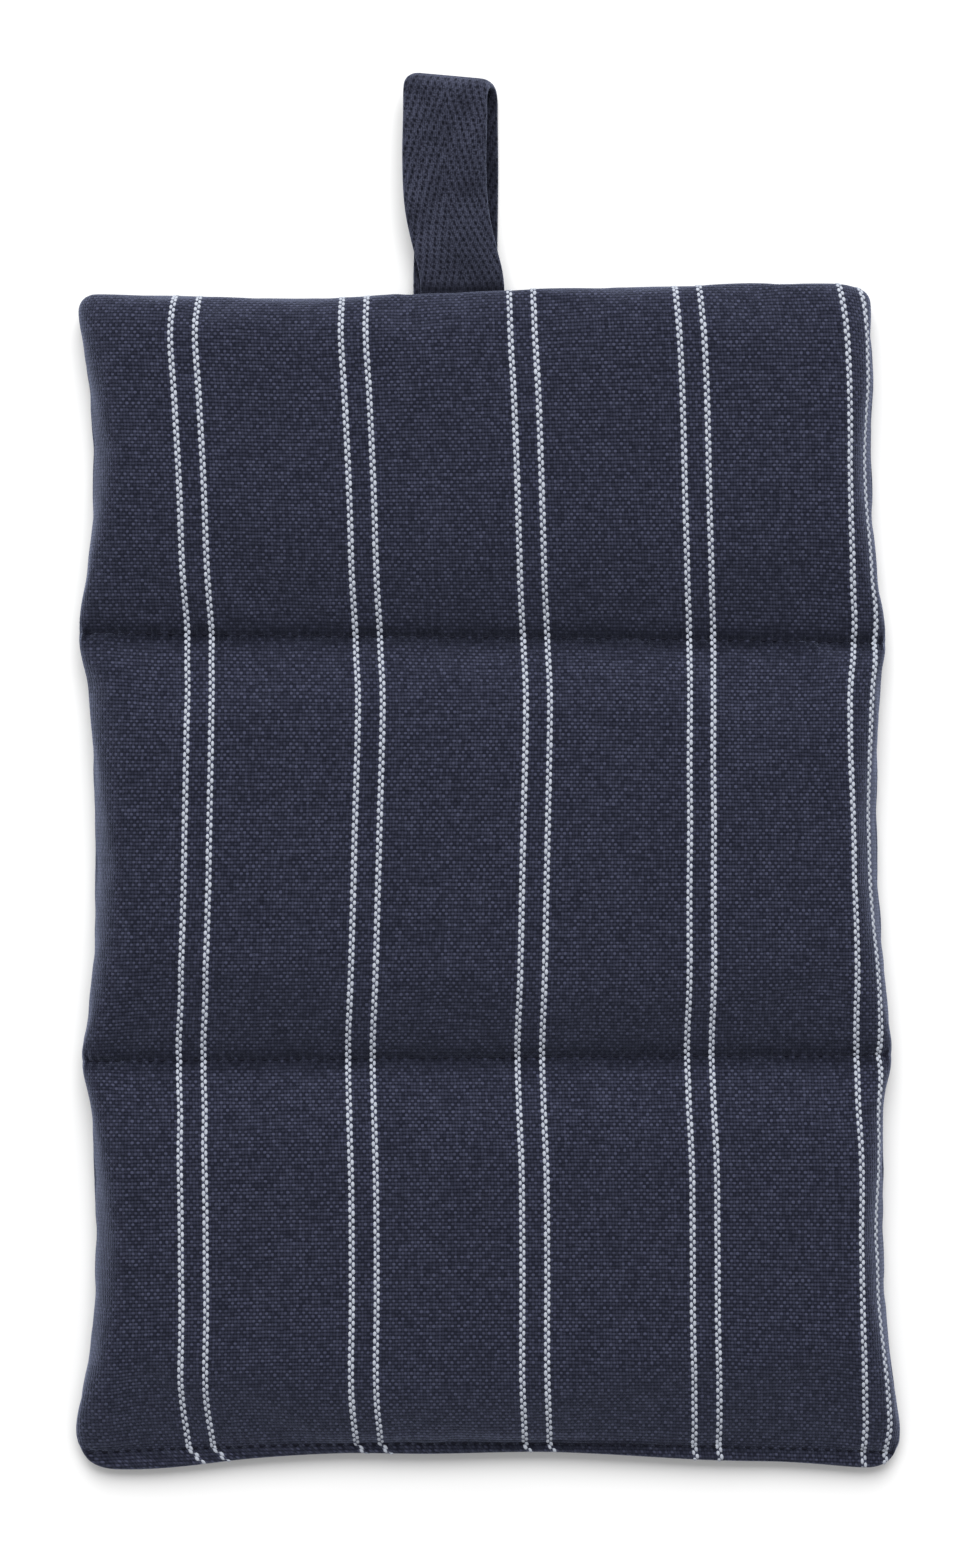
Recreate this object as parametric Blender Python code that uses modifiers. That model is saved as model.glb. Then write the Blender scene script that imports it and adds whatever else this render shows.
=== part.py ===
"""Quilted pot holder, lying on its back, with a tape loop to hang it by.

Two canvas panels are sewn together inside out, turned, filled with wadding and
closed with a topstitched hem. Two sewn rows part the filling into three crowned
panels. A folded herringbone tape is caught in the seam of the top end.

Lengths are in millimetres until a mesh is made, which is in metres. +X is the
pad's right, +Y its top end, +Z up. The origin is on the flat of the underside,
at the middle of the pad.
"""

import math
from collections import namedtuple

import bmesh
import bpy

MM = 0.001

# ------------------------------------------------------------------ driving sizes
SEAM_HEIGHT = 5.0        # side and top seams, above the surface the pad lies on
CROWN = 7.6              # filling above the seams at a panel's middle
BELLY = 6.6              # filling below them, before the surface presses it flat
ROLL = 7.0               # the filled edge rolls over to the seam in this width
SEAM_HALF = 0.7          # half the thickness of the cloth at the edge seam
ROW_HALF = 1.6           # half the thickness where a row of stitches holds it down
ROW_ROLL = 3.0           # width in which a stitched row thins to the edge seam
FULLNESS = 7.0           # how steeply the filling swells away from a row
SIDE_FALL = 0.07         # share of the crown lost from the pad's middle to its sides

HEM_HALF = 1.5           # half the thickness of the turned hem
HEM_EDGE_HALF = 0.9      # half its thickness at the fold
HEM_DROP = 1.0           # the hem hangs this much below the other seams
HEM_CORNER_DROP = 1.3    # and this much more at its two corners
HEM_DROP_LENGTH = 24.0   # length over which the end of the pad sinks to the hem

TAPE_WIDTH = 20.0
TAPE_THICKNESS = 1.2
LOOP_REACH = 51.2        # the loop's fold beyond the top edge, on its middle line
LOOP_LOW = 1.0           # middle of the tape's thickness, lower run
LOOP_HIGH = 8.2          # the same, upper run
CLEARANCE = 0.3          # between the tape and the cloth that holds it

SLOT_DEPTH = 4.0         # how far the tape's ends go into the seam
SLOT_LIP = 1.0           # cloth above and below the tape's ends
SLOT_FADE = 7.0          # width in which the seam closes beside the tape

# ------------------------------------------------------------------ the outline
# The sides draw in between the seams and stand out where a row crosses them.
Side = namedtuple("Side", "y left right")
SIDES = [
    Side(142.0, -96.8, 91.0),
    Side(134.0, -96.9, 91.9),
    Side(123.0, -95.6, 92.9),
    Side(110.0, -93.8, 92.2),
    Side(90.0, -93.4, 92.4),
    Side(76.0, -94.7, 93.1),
    Side(56.5, -96.9, 95.6),
    Side(44.0, -94.5, 94.4),
    Side(22.0, -93.4, 93.5),
    Side(0.0, -92.9, 93.7),
    Side(-22.0, -93.5, 95.3),
    Side(-33.0, -94.9, 96.4),
    Side(-43.8, -96.2, 97.0),
    Side(-54.0, -94.4, 95.2),
    Side(-66.0, -93.3, 95.1),
    Side(-92.0, -93.0, 95.2),
    Side(-110.0, -93.9, 96.2),
    Side(-121.0, -95.6, 97.4),
    Side(-131.0, -97.7, 99.1),
    Side(-142.0, -97.2, 99.6),
]
WAIST = next(side for side in SIDES if side.y == 0.0)

# The two ends and the three rows of stitches, none of them quite straight.
End = namedtuple("End", "x top bottom")
ENDS = [
    End(-97.0, 138.0, -141.9),
    End(-84.0, 138.4, -142.5),
    End(-70.0, 138.3, -141.4),
    End(-58.0, 138.0, -139.7),
    End(-45.0, 137.7, -138.6),
    End(-33.0, 137.6, -138.0),
    End(-17.0, 138.6, -138.3),
    End(9.0, 139.5, -137.7),
    End(25.0, 140.0, -138.5),
    End(47.0, 140.5, -140.0),
    End(63.0, 140.9, -140.3),
    End(80.0, 141.0, -142.0),
    End(89.0, 140.8, -141.5),
    End(98.0, 140.2, -139.4),
]
Row = namedtuple("Row", "x first second hem")
ROWS = [
    Row(-97.0, 57.6, -44.4, -137.3),
    Row(-48.0, 57.0, -43.8, -135.9),
    Row(-5.0, 56.6, -43.4, -134.9),
    Row(45.0, 56.0, -43.0, -135.9),
    Row(97.0, 55.0, -42.7, -137.6),
]

TOP_CORNER = 4.5         # corner radii in plan
BOTTOM_LEFT_CORNER = 9.5
BOTTOM_RIGHT_CORNER = 8.0

# ------------------------------------------------------------------ where points lie
ROLL_STEPS = 6           # steps round a rolled edge
MIDDLE_COLUMNS = 20      # columns between the two rolled sides
TOP_PANEL_STEPS = 4      # steps along each panel between its grooves
MIDDLE_PANEL_STEPS = 5
LOW_PANEL_STEPS = 5
GROOVE = [1.2, 3.0, 5.6, 9.0, 13.0]      # steps away from a row of stitches
HEM_STEPS = [0.35, 0.7, 0.9, 1.0]        # shares of the hem, row to fold

# ------------------------------------------------------------------ the loop
# Middle line of the tape, from its lower end in the seam round to its upper end:
# reach beyond the top edge, height, middle in X, and how far the tape is skewed.
Tape = namedtuple("Tape", "reach height x skew")
LOWER_RUN = [
    Tape(-3.7, 4.25, -7.1, 0.0),
    Tape(0.6, 4.2, -7.1, 0.0),
    Tape(4.5, 3.2, -7.1, 0.0),
    Tape(9.5, 1.7, -7.0, 0.01),
    Tape(17.0, LOOP_LOW, -6.9, 0.02),
    Tape(30.0, LOOP_LOW, -6.8, 0.05),
    Tape(41.0, LOOP_LOW, -6.9, 0.09),
]
UPPER_RUN = [
    Tape(41.0, LOOP_HIGH, -9.3, 0.09),
    Tape(31.0, LOOP_HIGH + 0.1, -9.6, 0.05),
    Tape(22.0, LOOP_HIGH, -9.4, 0.02),
    Tape(16.0, 7.8, -8.5, 0.01),
    Tape(10.0, 7.1, -7.3, 0.0),
    Tape(5.0, 6.2, -6.2, 0.0),
    Tape(0.6, 5.8, -5.4, 0.0),
    Tape(-3.7, 5.75, -5.4, 0.0),
]
FOLD_STEPS = 8
RUN_STEP = 2.6           # length of a step along the straight runs
TAPE_COLUMNS = 4

NAVY = (0.028, 0.032, 0.055, 1.0)
TAPE_NAVY = (0.045, 0.048, 0.068, 1.0)


# ------------------------------------------------------------------ reading the tables
def follow(table, along, column, place):
    """The value of a column at a place, on a smooth line through the table's rows."""
    rows = sorted(table, key=lambda row: getattr(row, along))
    places = [getattr(row, along) for row in rows]
    values = [getattr(row, column) for row in rows]
    place = min(max(place, places[0]), places[-1])
    last = len(rows) - 1
    start = max(i for i in range(last) if places[i] <= place)

    def slope(i):
        before, after = max(i - 1, 0), min(i + 1, last)
        return (values[after] - values[before]) / (places[after] - places[before])

    span = places[start + 1] - places[start]
    t = (place - places[start]) / span
    return ((2 * t ** 3 - 3 * t ** 2 + 1) * values[start]
            + (t ** 3 - 2 * t ** 2 + t) * span * slope(start)
            + (3 * t ** 2 - 2 * t ** 3) * values[start + 1]
            + (t ** 3 - t ** 2) * span * slope(start + 1))


def mix(a, b, share):
    return a + (b - a) * share


def ease(value):
    """0 below 0, 1 above 1 and a smooth rise between."""
    value = min(max(value, 0.0), 1.0)
    return value * value * (3.0 - 2.0 * value)


# ------------------------------------------------------------------ the pad's form
def roll(distance, width=ROLL):
    """Fullness of a rolled edge at a distance from its seam: a quarter ellipse."""
    return math.sqrt(1.0 - (1.0 - min(max(distance / width, 0.0), 1.0)) ** 2)


def swell(distance, half_panel):
    """Fullness of the filling at a distance from a row of stitches."""
    share = min(max(distance / half_panel, 0.0), 1.0)
    return 1.0 - (1.0 - share) ** FULLNESS


def lines_at(x):
    """Y of the top edge, the three rows and the bottom edge at one X."""
    return [
        follow(ENDS, "x", "top", x),
        follow(ROWS, "x", "first", x),
        follow(ROWS, "x", "second", x),
        follow(ROWS, "x", "hem", x),
        follow(ENDS, "x", "bottom", x),
    ]


def filling(y, lines):
    """Fullness along the pad: none on a row or in the hem, most between rows."""
    top, first, second, hem, _ = lines
    if y > first:
        return swell(y - first, top - first) * roll(top - y)
    if y > second:
        half = (first - second) / 2
        return swell(first - y, half) * swell(y - second, half)
    if y > hem:
        half = (second - hem) / 2
        return swell(second - y, half) * swell(y - hem, half)
    return 0.0


def seam_height(x, y, lines):
    """Height of the seams: level, but sinking to the hem and its corners."""
    sink = ease((lines[3] + HEM_DROP_LENGTH - y) / HEM_DROP_LENGTH)
    corner = (abs(x) / follow(SIDES, "y", "right", y)) ** 2
    return SEAM_HEIGHT - sink * (HEM_DROP + HEM_CORNER_DROP * corner)


def loop_lip(x):
    """Half the thickness of the top seam where it is held open by the tape."""
    open_half = slot_height() / 2 + SLOT_LIP
    left, right = slot_sides()
    beside = max(left - x, x - right, 0.0)
    return open_half * ease(1.0 - beside / SLOT_FADE)


def surfaces(x, y, side, lines):
    """Heights of the face and of the underside at a place, side mm from a side."""
    fullness = filling(y, lines) * roll(side)
    fullness *= 1.0 - SIDE_FALL * (x / follow(SIDES, "y", "right", y)) ** 2
    held = mix(SEAM_HALF, ROW_HALF, roll(side, ROW_ROLL))
    _, first, _, hem, bottom = lines
    if y > first:
        held = mix(SEAM_HALF, held, roll(lines[0] - y, ROW_ROLL))
        held = max(held, loop_lip(x) * (1.0 - ease((lines[0] - y) / ROLL)))
    elif y < hem:
        to_fold = roll(y - bottom, ROW_ROLL)
        held = min(held, mix(HEM_EDGE_HALF, HEM_HALF, to_fold))
    level = seam_height(x, y, lines)
    face = level + mix(held, CROWN, fullness)
    underside = level - mix(held, BELLY, fullness)
    return face, max(underside, 0.0)


def column_stations():
    """Columns of points across: a share of the width, and an inset in mm."""
    steps = [ROLL * (1.0 - math.cos(math.pi / 2 * i / ROLL_STEPS)) for i in range(ROLL_STEPS)]
    left = [(0.0, step) for step in steps]
    middle = [(i / MIDDLE_COLUMNS, ROLL * (1.0 - 2.0 * i / MIDDLE_COLUMNS))
              for i in range(MIDDLE_COLUMNS + 1)]
    right = [(1.0, -step) for step in reversed(steps)]
    return left + middle + right


def row_places(lines):
    """Y of each row of points in one column, top edge to bottom edge."""
    top, first, second, hem, bottom = lines
    reach = GROOVE[-1]
    hem_groove = GROOVE[:-1]

    def between(start, end, steps):
        return [mix(start, end, i / steps) for i in range(1, steps)]

    places = [top - ROLL * (1.0 - math.cos(math.pi / 2 * i / ROLL_STEPS))
              for i in range(ROLL_STEPS + 1)]
    places += between(top - ROLL, first + reach, TOP_PANEL_STEPS)
    places += [first + step for step in reversed(GROOVE)] + [first]
    places += [first - step for step in GROOVE]
    places += between(first - reach, second + reach, MIDDLE_PANEL_STEPS)
    places += [second + step for step in reversed(GROOVE)] + [second]
    places += [second - step for step in GROOVE]
    places += between(second - reach, hem + hem_groove[-1], LOW_PANEL_STEPS)
    places += [hem + step for step in reversed(hem_groove)] + [hem]
    places += [mix(hem, bottom, share) for share in HEM_STEPS]
    return places


def corner_radius(x, y):
    if y > 0.0:
        return TOP_CORNER
    return BOTTOM_LEFT_CORNER if x < 0.0 else BOTTOM_RIGHT_CORNER


def rounded(x, y, side, end):
    """A place moved in from a square corner to a round one, side and end mm from it."""
    radius = corner_radius(x, y)
    out_x = max(radius - side, 0.0)
    out_y = max(radius - end, 0.0)
    in_x = out_x * (1.0 - math.sqrt(1.0 - out_y ** 2 / (2 * radius ** 2)))
    in_y = out_y * (1.0 - math.sqrt(1.0 - out_x ** 2 / (2 * radius ** 2)))
    return x - math.copysign(in_x, x), y - math.copysign(in_y, y)


def pad_points():
    """For each column and row of points: X, Y and the heights of both surfaces."""
    points = []
    for share, inset in column_stations():
        lines = lines_at(mix(WAIST.left, WAIST.right, share) + inset)
        column = []
        for y in row_places(lines):
            left = follow(SIDES, "y", "left", y)
            right = follow(SIDES, "y", "right", y)
            x = mix(left, right, share) + inset
            side = min(x - left, right - x)
            end = min(lines[0] - y, y - lines[-1])
            face, underside = surfaces(x, y, side, lines)
            column.append((*rounded(x, y, side, end), face, underside))
        points.append(column)
    return points


# ------------------------------------------------------------------ the tape's route
def slot_height():
    return 2 * TAPE_THICKNESS + 3 * CLEARANCE


def slot_sides():
    """X of the two sides of the slot that the tape's ends lie in."""
    half = TAPE_WIDTH / 2 + CLEARANCE
    return LOWER_RUN[0].x - half, UPPER_RUN[-1].x + half


def top_edge_at_loop():
    return follow(ENDS, "x", "top", (LOWER_RUN[0].x + UPPER_RUN[-1].x) / 2)


def smooth_run(stations):
    """A run of the tape in short steps, on a smooth line through its stations."""
    run = []
    last = len(stations) - 1
    for i in range(last):
        a, b = stations[i], stations[i + 1]
        before, after = stations[max(i - 1, 0)], stations[min(i + 2, last)]
        steps = max(1, round(math.dist(a[:3], b[:3]) / RUN_STEP))
        for step in range(steps):
            t = step / steps
            run.append(Tape(*(
                (2 * q + (r - p) * t + (2 * p - 5 * q + 4 * r - s) * t ** 2
                 + (3 * q - p - 3 * r + s) * t ** 3) / 2
                for p, q, r, s in zip(before, a, b, after))))
    return run + [stations[-1]]


def fold_run():
    """The half turn at the loop's far end, between the two runs."""
    radius = (LOOP_HIGH - LOOP_LOW) / 2
    centre = LOOP_REACH - TAPE_THICKNESS / 2 - radius
    low, high = LOWER_RUN[-1], UPPER_RUN[0]
    run = []
    for step in range(FOLD_STEPS + 1):
        share = step / FOLD_STEPS
        angle = math.pi * (share - 0.5)
        run.append(Tape(
            centre + radius * math.cos(angle),
            LOOP_LOW + radius * (1.0 + math.sin(angle)),
            mix(low.x, high.x, ease(share)),
            mix(low.skew, high.skew, share)))
    return run


def loop_run():
    return smooth_run(LOWER_RUN) + fold_run() + smooth_run(UPPER_RUN)


# ------------------------------------------------------------------ making objects
def cloth_material(name, colour, roughness):
    material = bpy.data.materials.new(name)
    material.use_nodes = True
    shader = material.node_tree.nodes["Principled BSDF"]
    shader.inputs["Base Color"].default_value = colour
    shader.inputs["Roughness"].default_value = roughness
    shader.inputs["Metallic"].default_value = 0.0
    return material


def add_object(name, mesh, collection, material=None):
    thing = bpy.data.objects.new(name, mesh)
    collection.objects.link(thing)
    if material:
        mesh.materials.append(material)
    return thing


def grid_mesh(columns, rows):
    """A flat grid, and for each of its vertices the column and row that it is on."""
    grid = bmesh.new()
    bmesh.ops.create_grid(grid, x_segments=columns, y_segments=rows, size=1.0)
    stations = {
        vertex: (round((vertex.co.x + 1) / 2 * columns), round((1 - vertex.co.y) / 2 * rows))
        for vertex in grid.verts
    }
    return grid, stations


def smooth_mesh(name, grid):
    mesh = bpy.data.meshes.new(name)
    grid.to_mesh(mesh)
    grid.free()
    mesh.shade_smooth()
    return mesh


def make_pad(collection, cutters):
    """The filled pad: a grid extruded to a slab whose two faces take the pad's form."""
    points = pad_points()
    grid, stations = grid_mesh(len(points) - 1, len(points[0]) - 1)
    at_place = {vertex.co.xy.copy().freeze(): station for vertex, station in stations.items()}
    extruded = bmesh.ops.extrude_face_region(grid, geom=grid.faces[:])
    face_points = {item for item in extruded["geom"] if isinstance(item, bmesh.types.BMVert)}
    for vertex in grid.verts:
        column, row = at_place[vertex.co.xy.freeze()]
        x, y, face, underside = points[column][row]
        height = face if vertex in face_points else underside
        vertex.co = (x * MM, y * MM, height * MM)
    bmesh.ops.recalc_face_normals(grid, faces=grid.faces[:])
    canvas = cloth_material("navy_canvas", NAVY, 0.9)
    pad = add_object("quilted_pad", smooth_mesh("quilted_pad", grid), collection, canvas)
    slot = pad.modifiers.new("loop_slot", "BOOLEAN")
    slot.object = make_slot_cutter(cutters)
    slot.operation = "DIFFERENCE"
    slot.solver = "EXACT"
    return pad


def make_slot_cutter(cutters):
    """A box that opens the top seam for the two ends of the tape, half of it outside."""
    left, right = slot_sides()
    edge = top_edge_at_loop()
    box = bmesh.new()
    bmesh.ops.create_cube(box, size=1.0)
    bmesh.ops.scale(box, verts=box.verts,
                    vec=((right - left) * MM, 2 * SLOT_DEPTH * MM, slot_height() * MM))
    bmesh.ops.translate(box, verts=box.verts,
                        vec=((left + right) / 2 * MM, edge * MM, SEAM_HEIGHT * MM))
    mesh = bpy.data.meshes.new("slot_cutter")
    box.to_mesh(mesh)
    box.free()
    cutter = add_object("slot_cutter", mesh, cutters)
    cutter.hide_render = True
    cutter.display_type = "WIRE"
    return cutter


def make_loop(collection):
    """The folded tape: an open strip along its route, thickened both ways."""
    run = loop_run()
    edge = top_edge_at_loop()
    grid, stations = grid_mesh(len(run) - 1, TAPE_COLUMNS)
    for vertex, (along, across) in stations.items():
        tape = run[along]
        aside = TAPE_WIDTH * (across / TAPE_COLUMNS - 0.5)
        vertex.co = ((tape.x + aside) * MM,
                     (edge + tape.reach - tape.skew * aside) * MM,
                     tape.height * MM)
    bmesh.ops.recalc_face_normals(grid, faces=grid.faces[:])
    webbing = cloth_material("herringbone_tape", TAPE_NAVY, 0.85)
    loop = add_object("hanging_loop", smooth_mesh("hanging_loop", grid), collection, webbing)
    wall = loop.modifiers.new("tape_thickness", "SOLIDIFY")
    wall.thickness = TAPE_THICKNESS * MM
    wall.offset = 0.0
    wall.use_even_offset = True
    return loop


def main():
    for thing in list(bpy.data.objects):
        bpy.data.objects.remove(thing)
    holder = bpy.data.collections.new("pot_holder")
    cutters = bpy.data.collections.new("cutters")
    bpy.context.scene.collection.children.link(holder)
    bpy.context.scene.collection.children.link(cutters)
    make_pad(holder, cutters)
    make_loop(holder)


main()
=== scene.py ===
# %% [markdown]
# # A quilted pot holder in striped canvas
#
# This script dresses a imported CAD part: a long, filled pot holder that lies on its back, with three crowned
# panels between sewn rows, a turned hem and a tape loop. The part gives the sizes and places. The script adds
# what makes it cloth: a canvas cover with its own threads, white pinstripes, stitches and a herringbone tape.
#
# Lengths are in millimetres until a mesh is made. +X is the holder's right, +Y its end with the loop, +Z up.

import math
from collections import namedtuple

import bpy
import numpy as np
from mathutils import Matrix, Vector
from mathutils.bvhtree import BVHTree


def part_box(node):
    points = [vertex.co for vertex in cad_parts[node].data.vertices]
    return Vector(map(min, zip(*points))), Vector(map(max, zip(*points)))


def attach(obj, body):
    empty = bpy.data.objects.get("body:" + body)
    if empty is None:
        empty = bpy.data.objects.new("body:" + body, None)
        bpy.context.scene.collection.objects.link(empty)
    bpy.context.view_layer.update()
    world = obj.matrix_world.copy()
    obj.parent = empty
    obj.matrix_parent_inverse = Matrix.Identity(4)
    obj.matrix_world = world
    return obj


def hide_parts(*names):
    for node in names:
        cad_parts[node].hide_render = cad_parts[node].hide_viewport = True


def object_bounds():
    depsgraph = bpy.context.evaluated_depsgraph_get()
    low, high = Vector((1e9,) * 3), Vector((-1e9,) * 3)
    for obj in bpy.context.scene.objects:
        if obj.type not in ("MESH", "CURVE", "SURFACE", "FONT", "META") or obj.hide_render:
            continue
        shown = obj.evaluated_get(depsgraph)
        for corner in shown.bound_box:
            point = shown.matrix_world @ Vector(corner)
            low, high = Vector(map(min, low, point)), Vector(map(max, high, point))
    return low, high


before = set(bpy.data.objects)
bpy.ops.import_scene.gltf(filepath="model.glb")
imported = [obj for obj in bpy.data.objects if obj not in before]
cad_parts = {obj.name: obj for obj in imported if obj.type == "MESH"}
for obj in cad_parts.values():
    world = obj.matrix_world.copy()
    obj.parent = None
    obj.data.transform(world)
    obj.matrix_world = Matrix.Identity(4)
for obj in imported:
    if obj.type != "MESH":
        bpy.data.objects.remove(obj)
cad_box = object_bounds()
MM = 0.001
print("CAD box, mm:", [[round(c / MM, 1) for c in corner] for corner in cad_box])

# %% [markdown]
# ## Camera, floor and light
#
# The holder is seen from straight above, so the camera hangs over it and looks down. A long lens keeps the sides
# of the pad out of sight, as they are in a studio picture of flat goods. One scene millimetre is 4.2 picture
# pixels. The light is one large soft panel towards the loop's end, and a pale sky that fills the rest: slopes
# that face the loop come out a little lighter, and each panel darkens where it falls to the row below it.

# %% Camera
VIEW_HEIGHT = 368.4          # mm of the object's plane from the picture's top to its bottom
VIEW_CENTRE = (0.0, 24.0)    # the point under the camera
SEAM_HEIGHT = 5.0            # the plane in which the outline lies
LENS = 100.0
SENSOR = 36.0

camera_data = bpy.data.cameras.new("camera")
camera_data.lens = LENS
camera_data.sensor_width = SENSOR
camera = bpy.data.objects.new("camera", camera_data)
camera_distance = VIEW_HEIGHT * LENS / SENSOR
camera.location = (VIEW_CENTRE[0] * MM, VIEW_CENTRE[1] * MM, (SEAM_HEIGHT + camera_distance) * MM)
bpy.context.scene.collection.objects.link(camera)
bpy.context.scene.camera = camera
print("camera is", round(camera_distance), "mm above the seams")

# %% Floor
FLOOR_SIZE = 6.0             # metres
FLOOR_BELOW = 0.05           # mm under the lowest yarns

floor_mesh = bpy.data.meshes.new("floor")
half = FLOOR_SIZE / 2
floor_mesh.from_pydata([(-half, -half, 0), (half, -half, 0), (half, half, 0), (-half, half, 0)], [],
                       [(0, 1, 2, 3)])
floor = bpy.data.objects.new("floor", floor_mesh)
floor.location.z = -FLOOR_BELOW * MM
bpy.context.scene.collection.objects.link(floor)
print("floor:", FLOOR_SIZE, "m square")

# %% Light
SOFTBOX_SIZE = 2.0           # metres
SOFTBOX_HEIGHT = 1.5
SOFTBOX_TOWARDS_LOOP = 1.5
SOFTBOX_POWER = 72.0         # watts
SKY_STRENGTH = 0.6

softbox_data = bpy.data.lights.new("softbox", "AREA")
softbox_data.shape = "SQUARE"
softbox_data.size = SOFTBOX_SIZE
softbox_data.energy = SOFTBOX_POWER
softbox = bpy.data.objects.new("softbox", softbox_data)
softbox.location = (0.0, SOFTBOX_TOWARDS_LOOP, SOFTBOX_HEIGHT)
softbox.rotation_euler = Vector(softbox.location).to_track_quat("Z", "Y").to_euler()
bpy.context.scene.collection.objects.link(softbox)

world = bpy.data.worlds.new("pale_sky")
world.use_nodes = True
world.node_tree.nodes["Background"].inputs["Color"].default_value = (1.0, 1.0, 1.0, 1.0)
world.node_tree.nodes["Background"].inputs["Strength"].default_value = SKY_STRENGTH
bpy.context.scene.world = world
bpy.context.scene.view_settings.view_transform = "Standard"
print("softbox:", SOFTBOX_POWER, "W at", SOFTBOX_HEIGHT, "m, sky:", SKY_STRENGTH)

# %% [markdown]
# ## Reading the pad's outline from the part
#
# The cover has to lie exactly where the CAD pad is, so its outline isn't drawn a second time: it is measured.
# A cut through the pad's mesh at one Y gives the two sides there, and a cut at one X gives the two ends. A ray
# dropped on the face finds the height, and the lowest point near a sewn row is the row itself. The solid has
# flat facets, so each measured line is softened over a few millimetres.

# %% Cuts and heights
pad_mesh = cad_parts["quilted_pad"].data
corners = np.array([vertex.co for vertex in pad_mesh.vertices]) / MM
edges = np.array([edge.vertices for edge in pad_mesh.edges])
pad_tree = BVHTree.FromPolygons([tuple(corner) for corner in corners],
                                [tuple(face.vertices) for face in pad_mesh.polygons])
print("CAD pad:", len(corners), "corners and", len(edges), "edges")


def cut(axis, place):
    """The points where the plane axis = place crosses the edges of the CAD pad."""
    start, end = corners[edges[:, 0]], corners[edges[:, 1]]
    crossing = (start[:, axis] - place) * (end[:, axis] - place) < 0
    start, end = start[crossing], end[crossing]
    share = (place - start[:, axis]) / (end[:, axis] - start[:, axis])
    return start + (end - start) * share[:, None]


def face_height(x, y):
    """Height of the CAD pad's face at a place."""
    return pad_tree.ray_cast(Vector((x, y, 100.0)), Vector((0.0, 0.0, -1.0)))[0].z


def soften(values, reach):
    """Values at even steps, each averaged with its neighbours up to reach steps away."""
    weights = np.hanning(2 * reach + 3)[1:-1]
    padded = np.pad(values, reach, mode="reflect", reflect_type="odd")
    return np.convolve(padded, weights / weights.sum(), mode="valid")


# %% Sides, ends and sewn rows
TOP, FIRST, SECOND, HEM, BOTTOM = range(5)   # the lines across the pad, from the loop's end
STEP = 0.5                   # mm between measured places
SIDES_FROM, SIDES_TO = -131.0, 134.0         # the sides between the rounded corners
ENDS_FROM, ENDS_TO = -86.0, 89.0             # and the ends
SOFTEN_SIDES = 5             # steps
SOFTEN_ENDS = 12
ROW_GUESSES = (57.0, -43.0)  # roughly where the two rows are
ROW_SEARCH, ROW_LOOK = 5.0, 0.2              # mm either way, in steps of mm
HEM_LOOK = 0.1               # the steps that find the hem's row
HEM_RISE = 0.4               # the face rises this steeply above it
HEM_DEPTHS = (1.6, 7.0)      # the row lies between these distances from the edge
OFF_CORNERS = 1e-4           # mm, so that a cut misses the mesh's own corners

side_places = np.arange(SIDES_FROM, SIDES_TO + STEP, STEP)
side_cuts = [cut(1, y + OFF_CORNERS)[:, 0] for y in side_places]
left_side = soften(np.array([c.min() for c in side_cuts]), SOFTEN_SIDES)
right_side = soften(np.array([c.max() for c in side_cuts]), SOFTEN_SIDES)

end_places = np.arange(ENDS_FROM, ENDS_TO + STEP, STEP)
end_cuts = [cut(0, x + OFF_CORNERS)[:, 1] for x in end_places]
top_end = soften(np.array([c.max() for c in end_cuts]), SOFTEN_ENDS)
bottom_end = soften(np.array([c.min() for c in end_cuts]), SOFTEN_ENDS)


def lowest_near(x, guess):
    """Y of the bottom of the groove nearest to a guess."""
    places = np.arange(guess - ROW_SEARCH, guess + ROW_SEARCH, ROW_LOOK)
    return places[np.argmin([face_height(x, y) for y in places])]


def hem_row(x, bottom):
    """Y where the face begins to rise above the flat of the hem."""
    places = np.arange(bottom + HEM_DEPTHS[0], bottom + HEM_DEPTHS[1], HEM_LOOK)
    heights = np.array([face_height(x, y) for y in places])
    return places[np.argmax(np.diff(heights) / HEM_LOOK > HEM_RISE)]


row_places = end_places[::10]


def straightened(values):
    """A sewn row wanders only slowly, so a cubic through its measured places is enough."""
    return np.polynomial.Polynomial.fit(row_places, values, 3)


first_row = straightened([lowest_near(x, ROW_GUESSES[0]) for x in row_places])
second_row = straightened([lowest_near(x, ROW_GUESSES[1]) for x in row_places])
hem_line = straightened([hem_row(x, np.interp(x, end_places, bottom_end)) for x in row_places])
print("rows at x = 0:", [round(float(row(0.0)), 1) for row in (first_row, second_row, hem_line)])


def sides_at(y):
    """X of the left and the right side at one Y or many."""
    return np.interp(y, side_places, left_side), np.interp(y, side_places, right_side)


def lines_at(x):
    """Y of the top end, both rows, the hem's row and the bottom end at one X or many."""
    return (np.interp(x, end_places, top_end), first_row(x), second_row(x), hem_line(x),
            np.interp(x, end_places, bottom_end))


# %% [markdown]
# ## The cover's threads
#
# Canvas is a grid of threads, and it hardly stretches. The cover is therefore made as that grid: its columns run
# with the warp and its rows with the weft, and each carries its own cloth coordinate in millimetres. The panels
# are all cut to one width. Where the filling lifts the cloth, more of that width is used up going round the
# edges, so the sides draw in and the stripes move together, and where a row holds the pad flat they spread out.
# Working out the length of each cross-section and sharing the threads over it gives all of this by itself.

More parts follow.
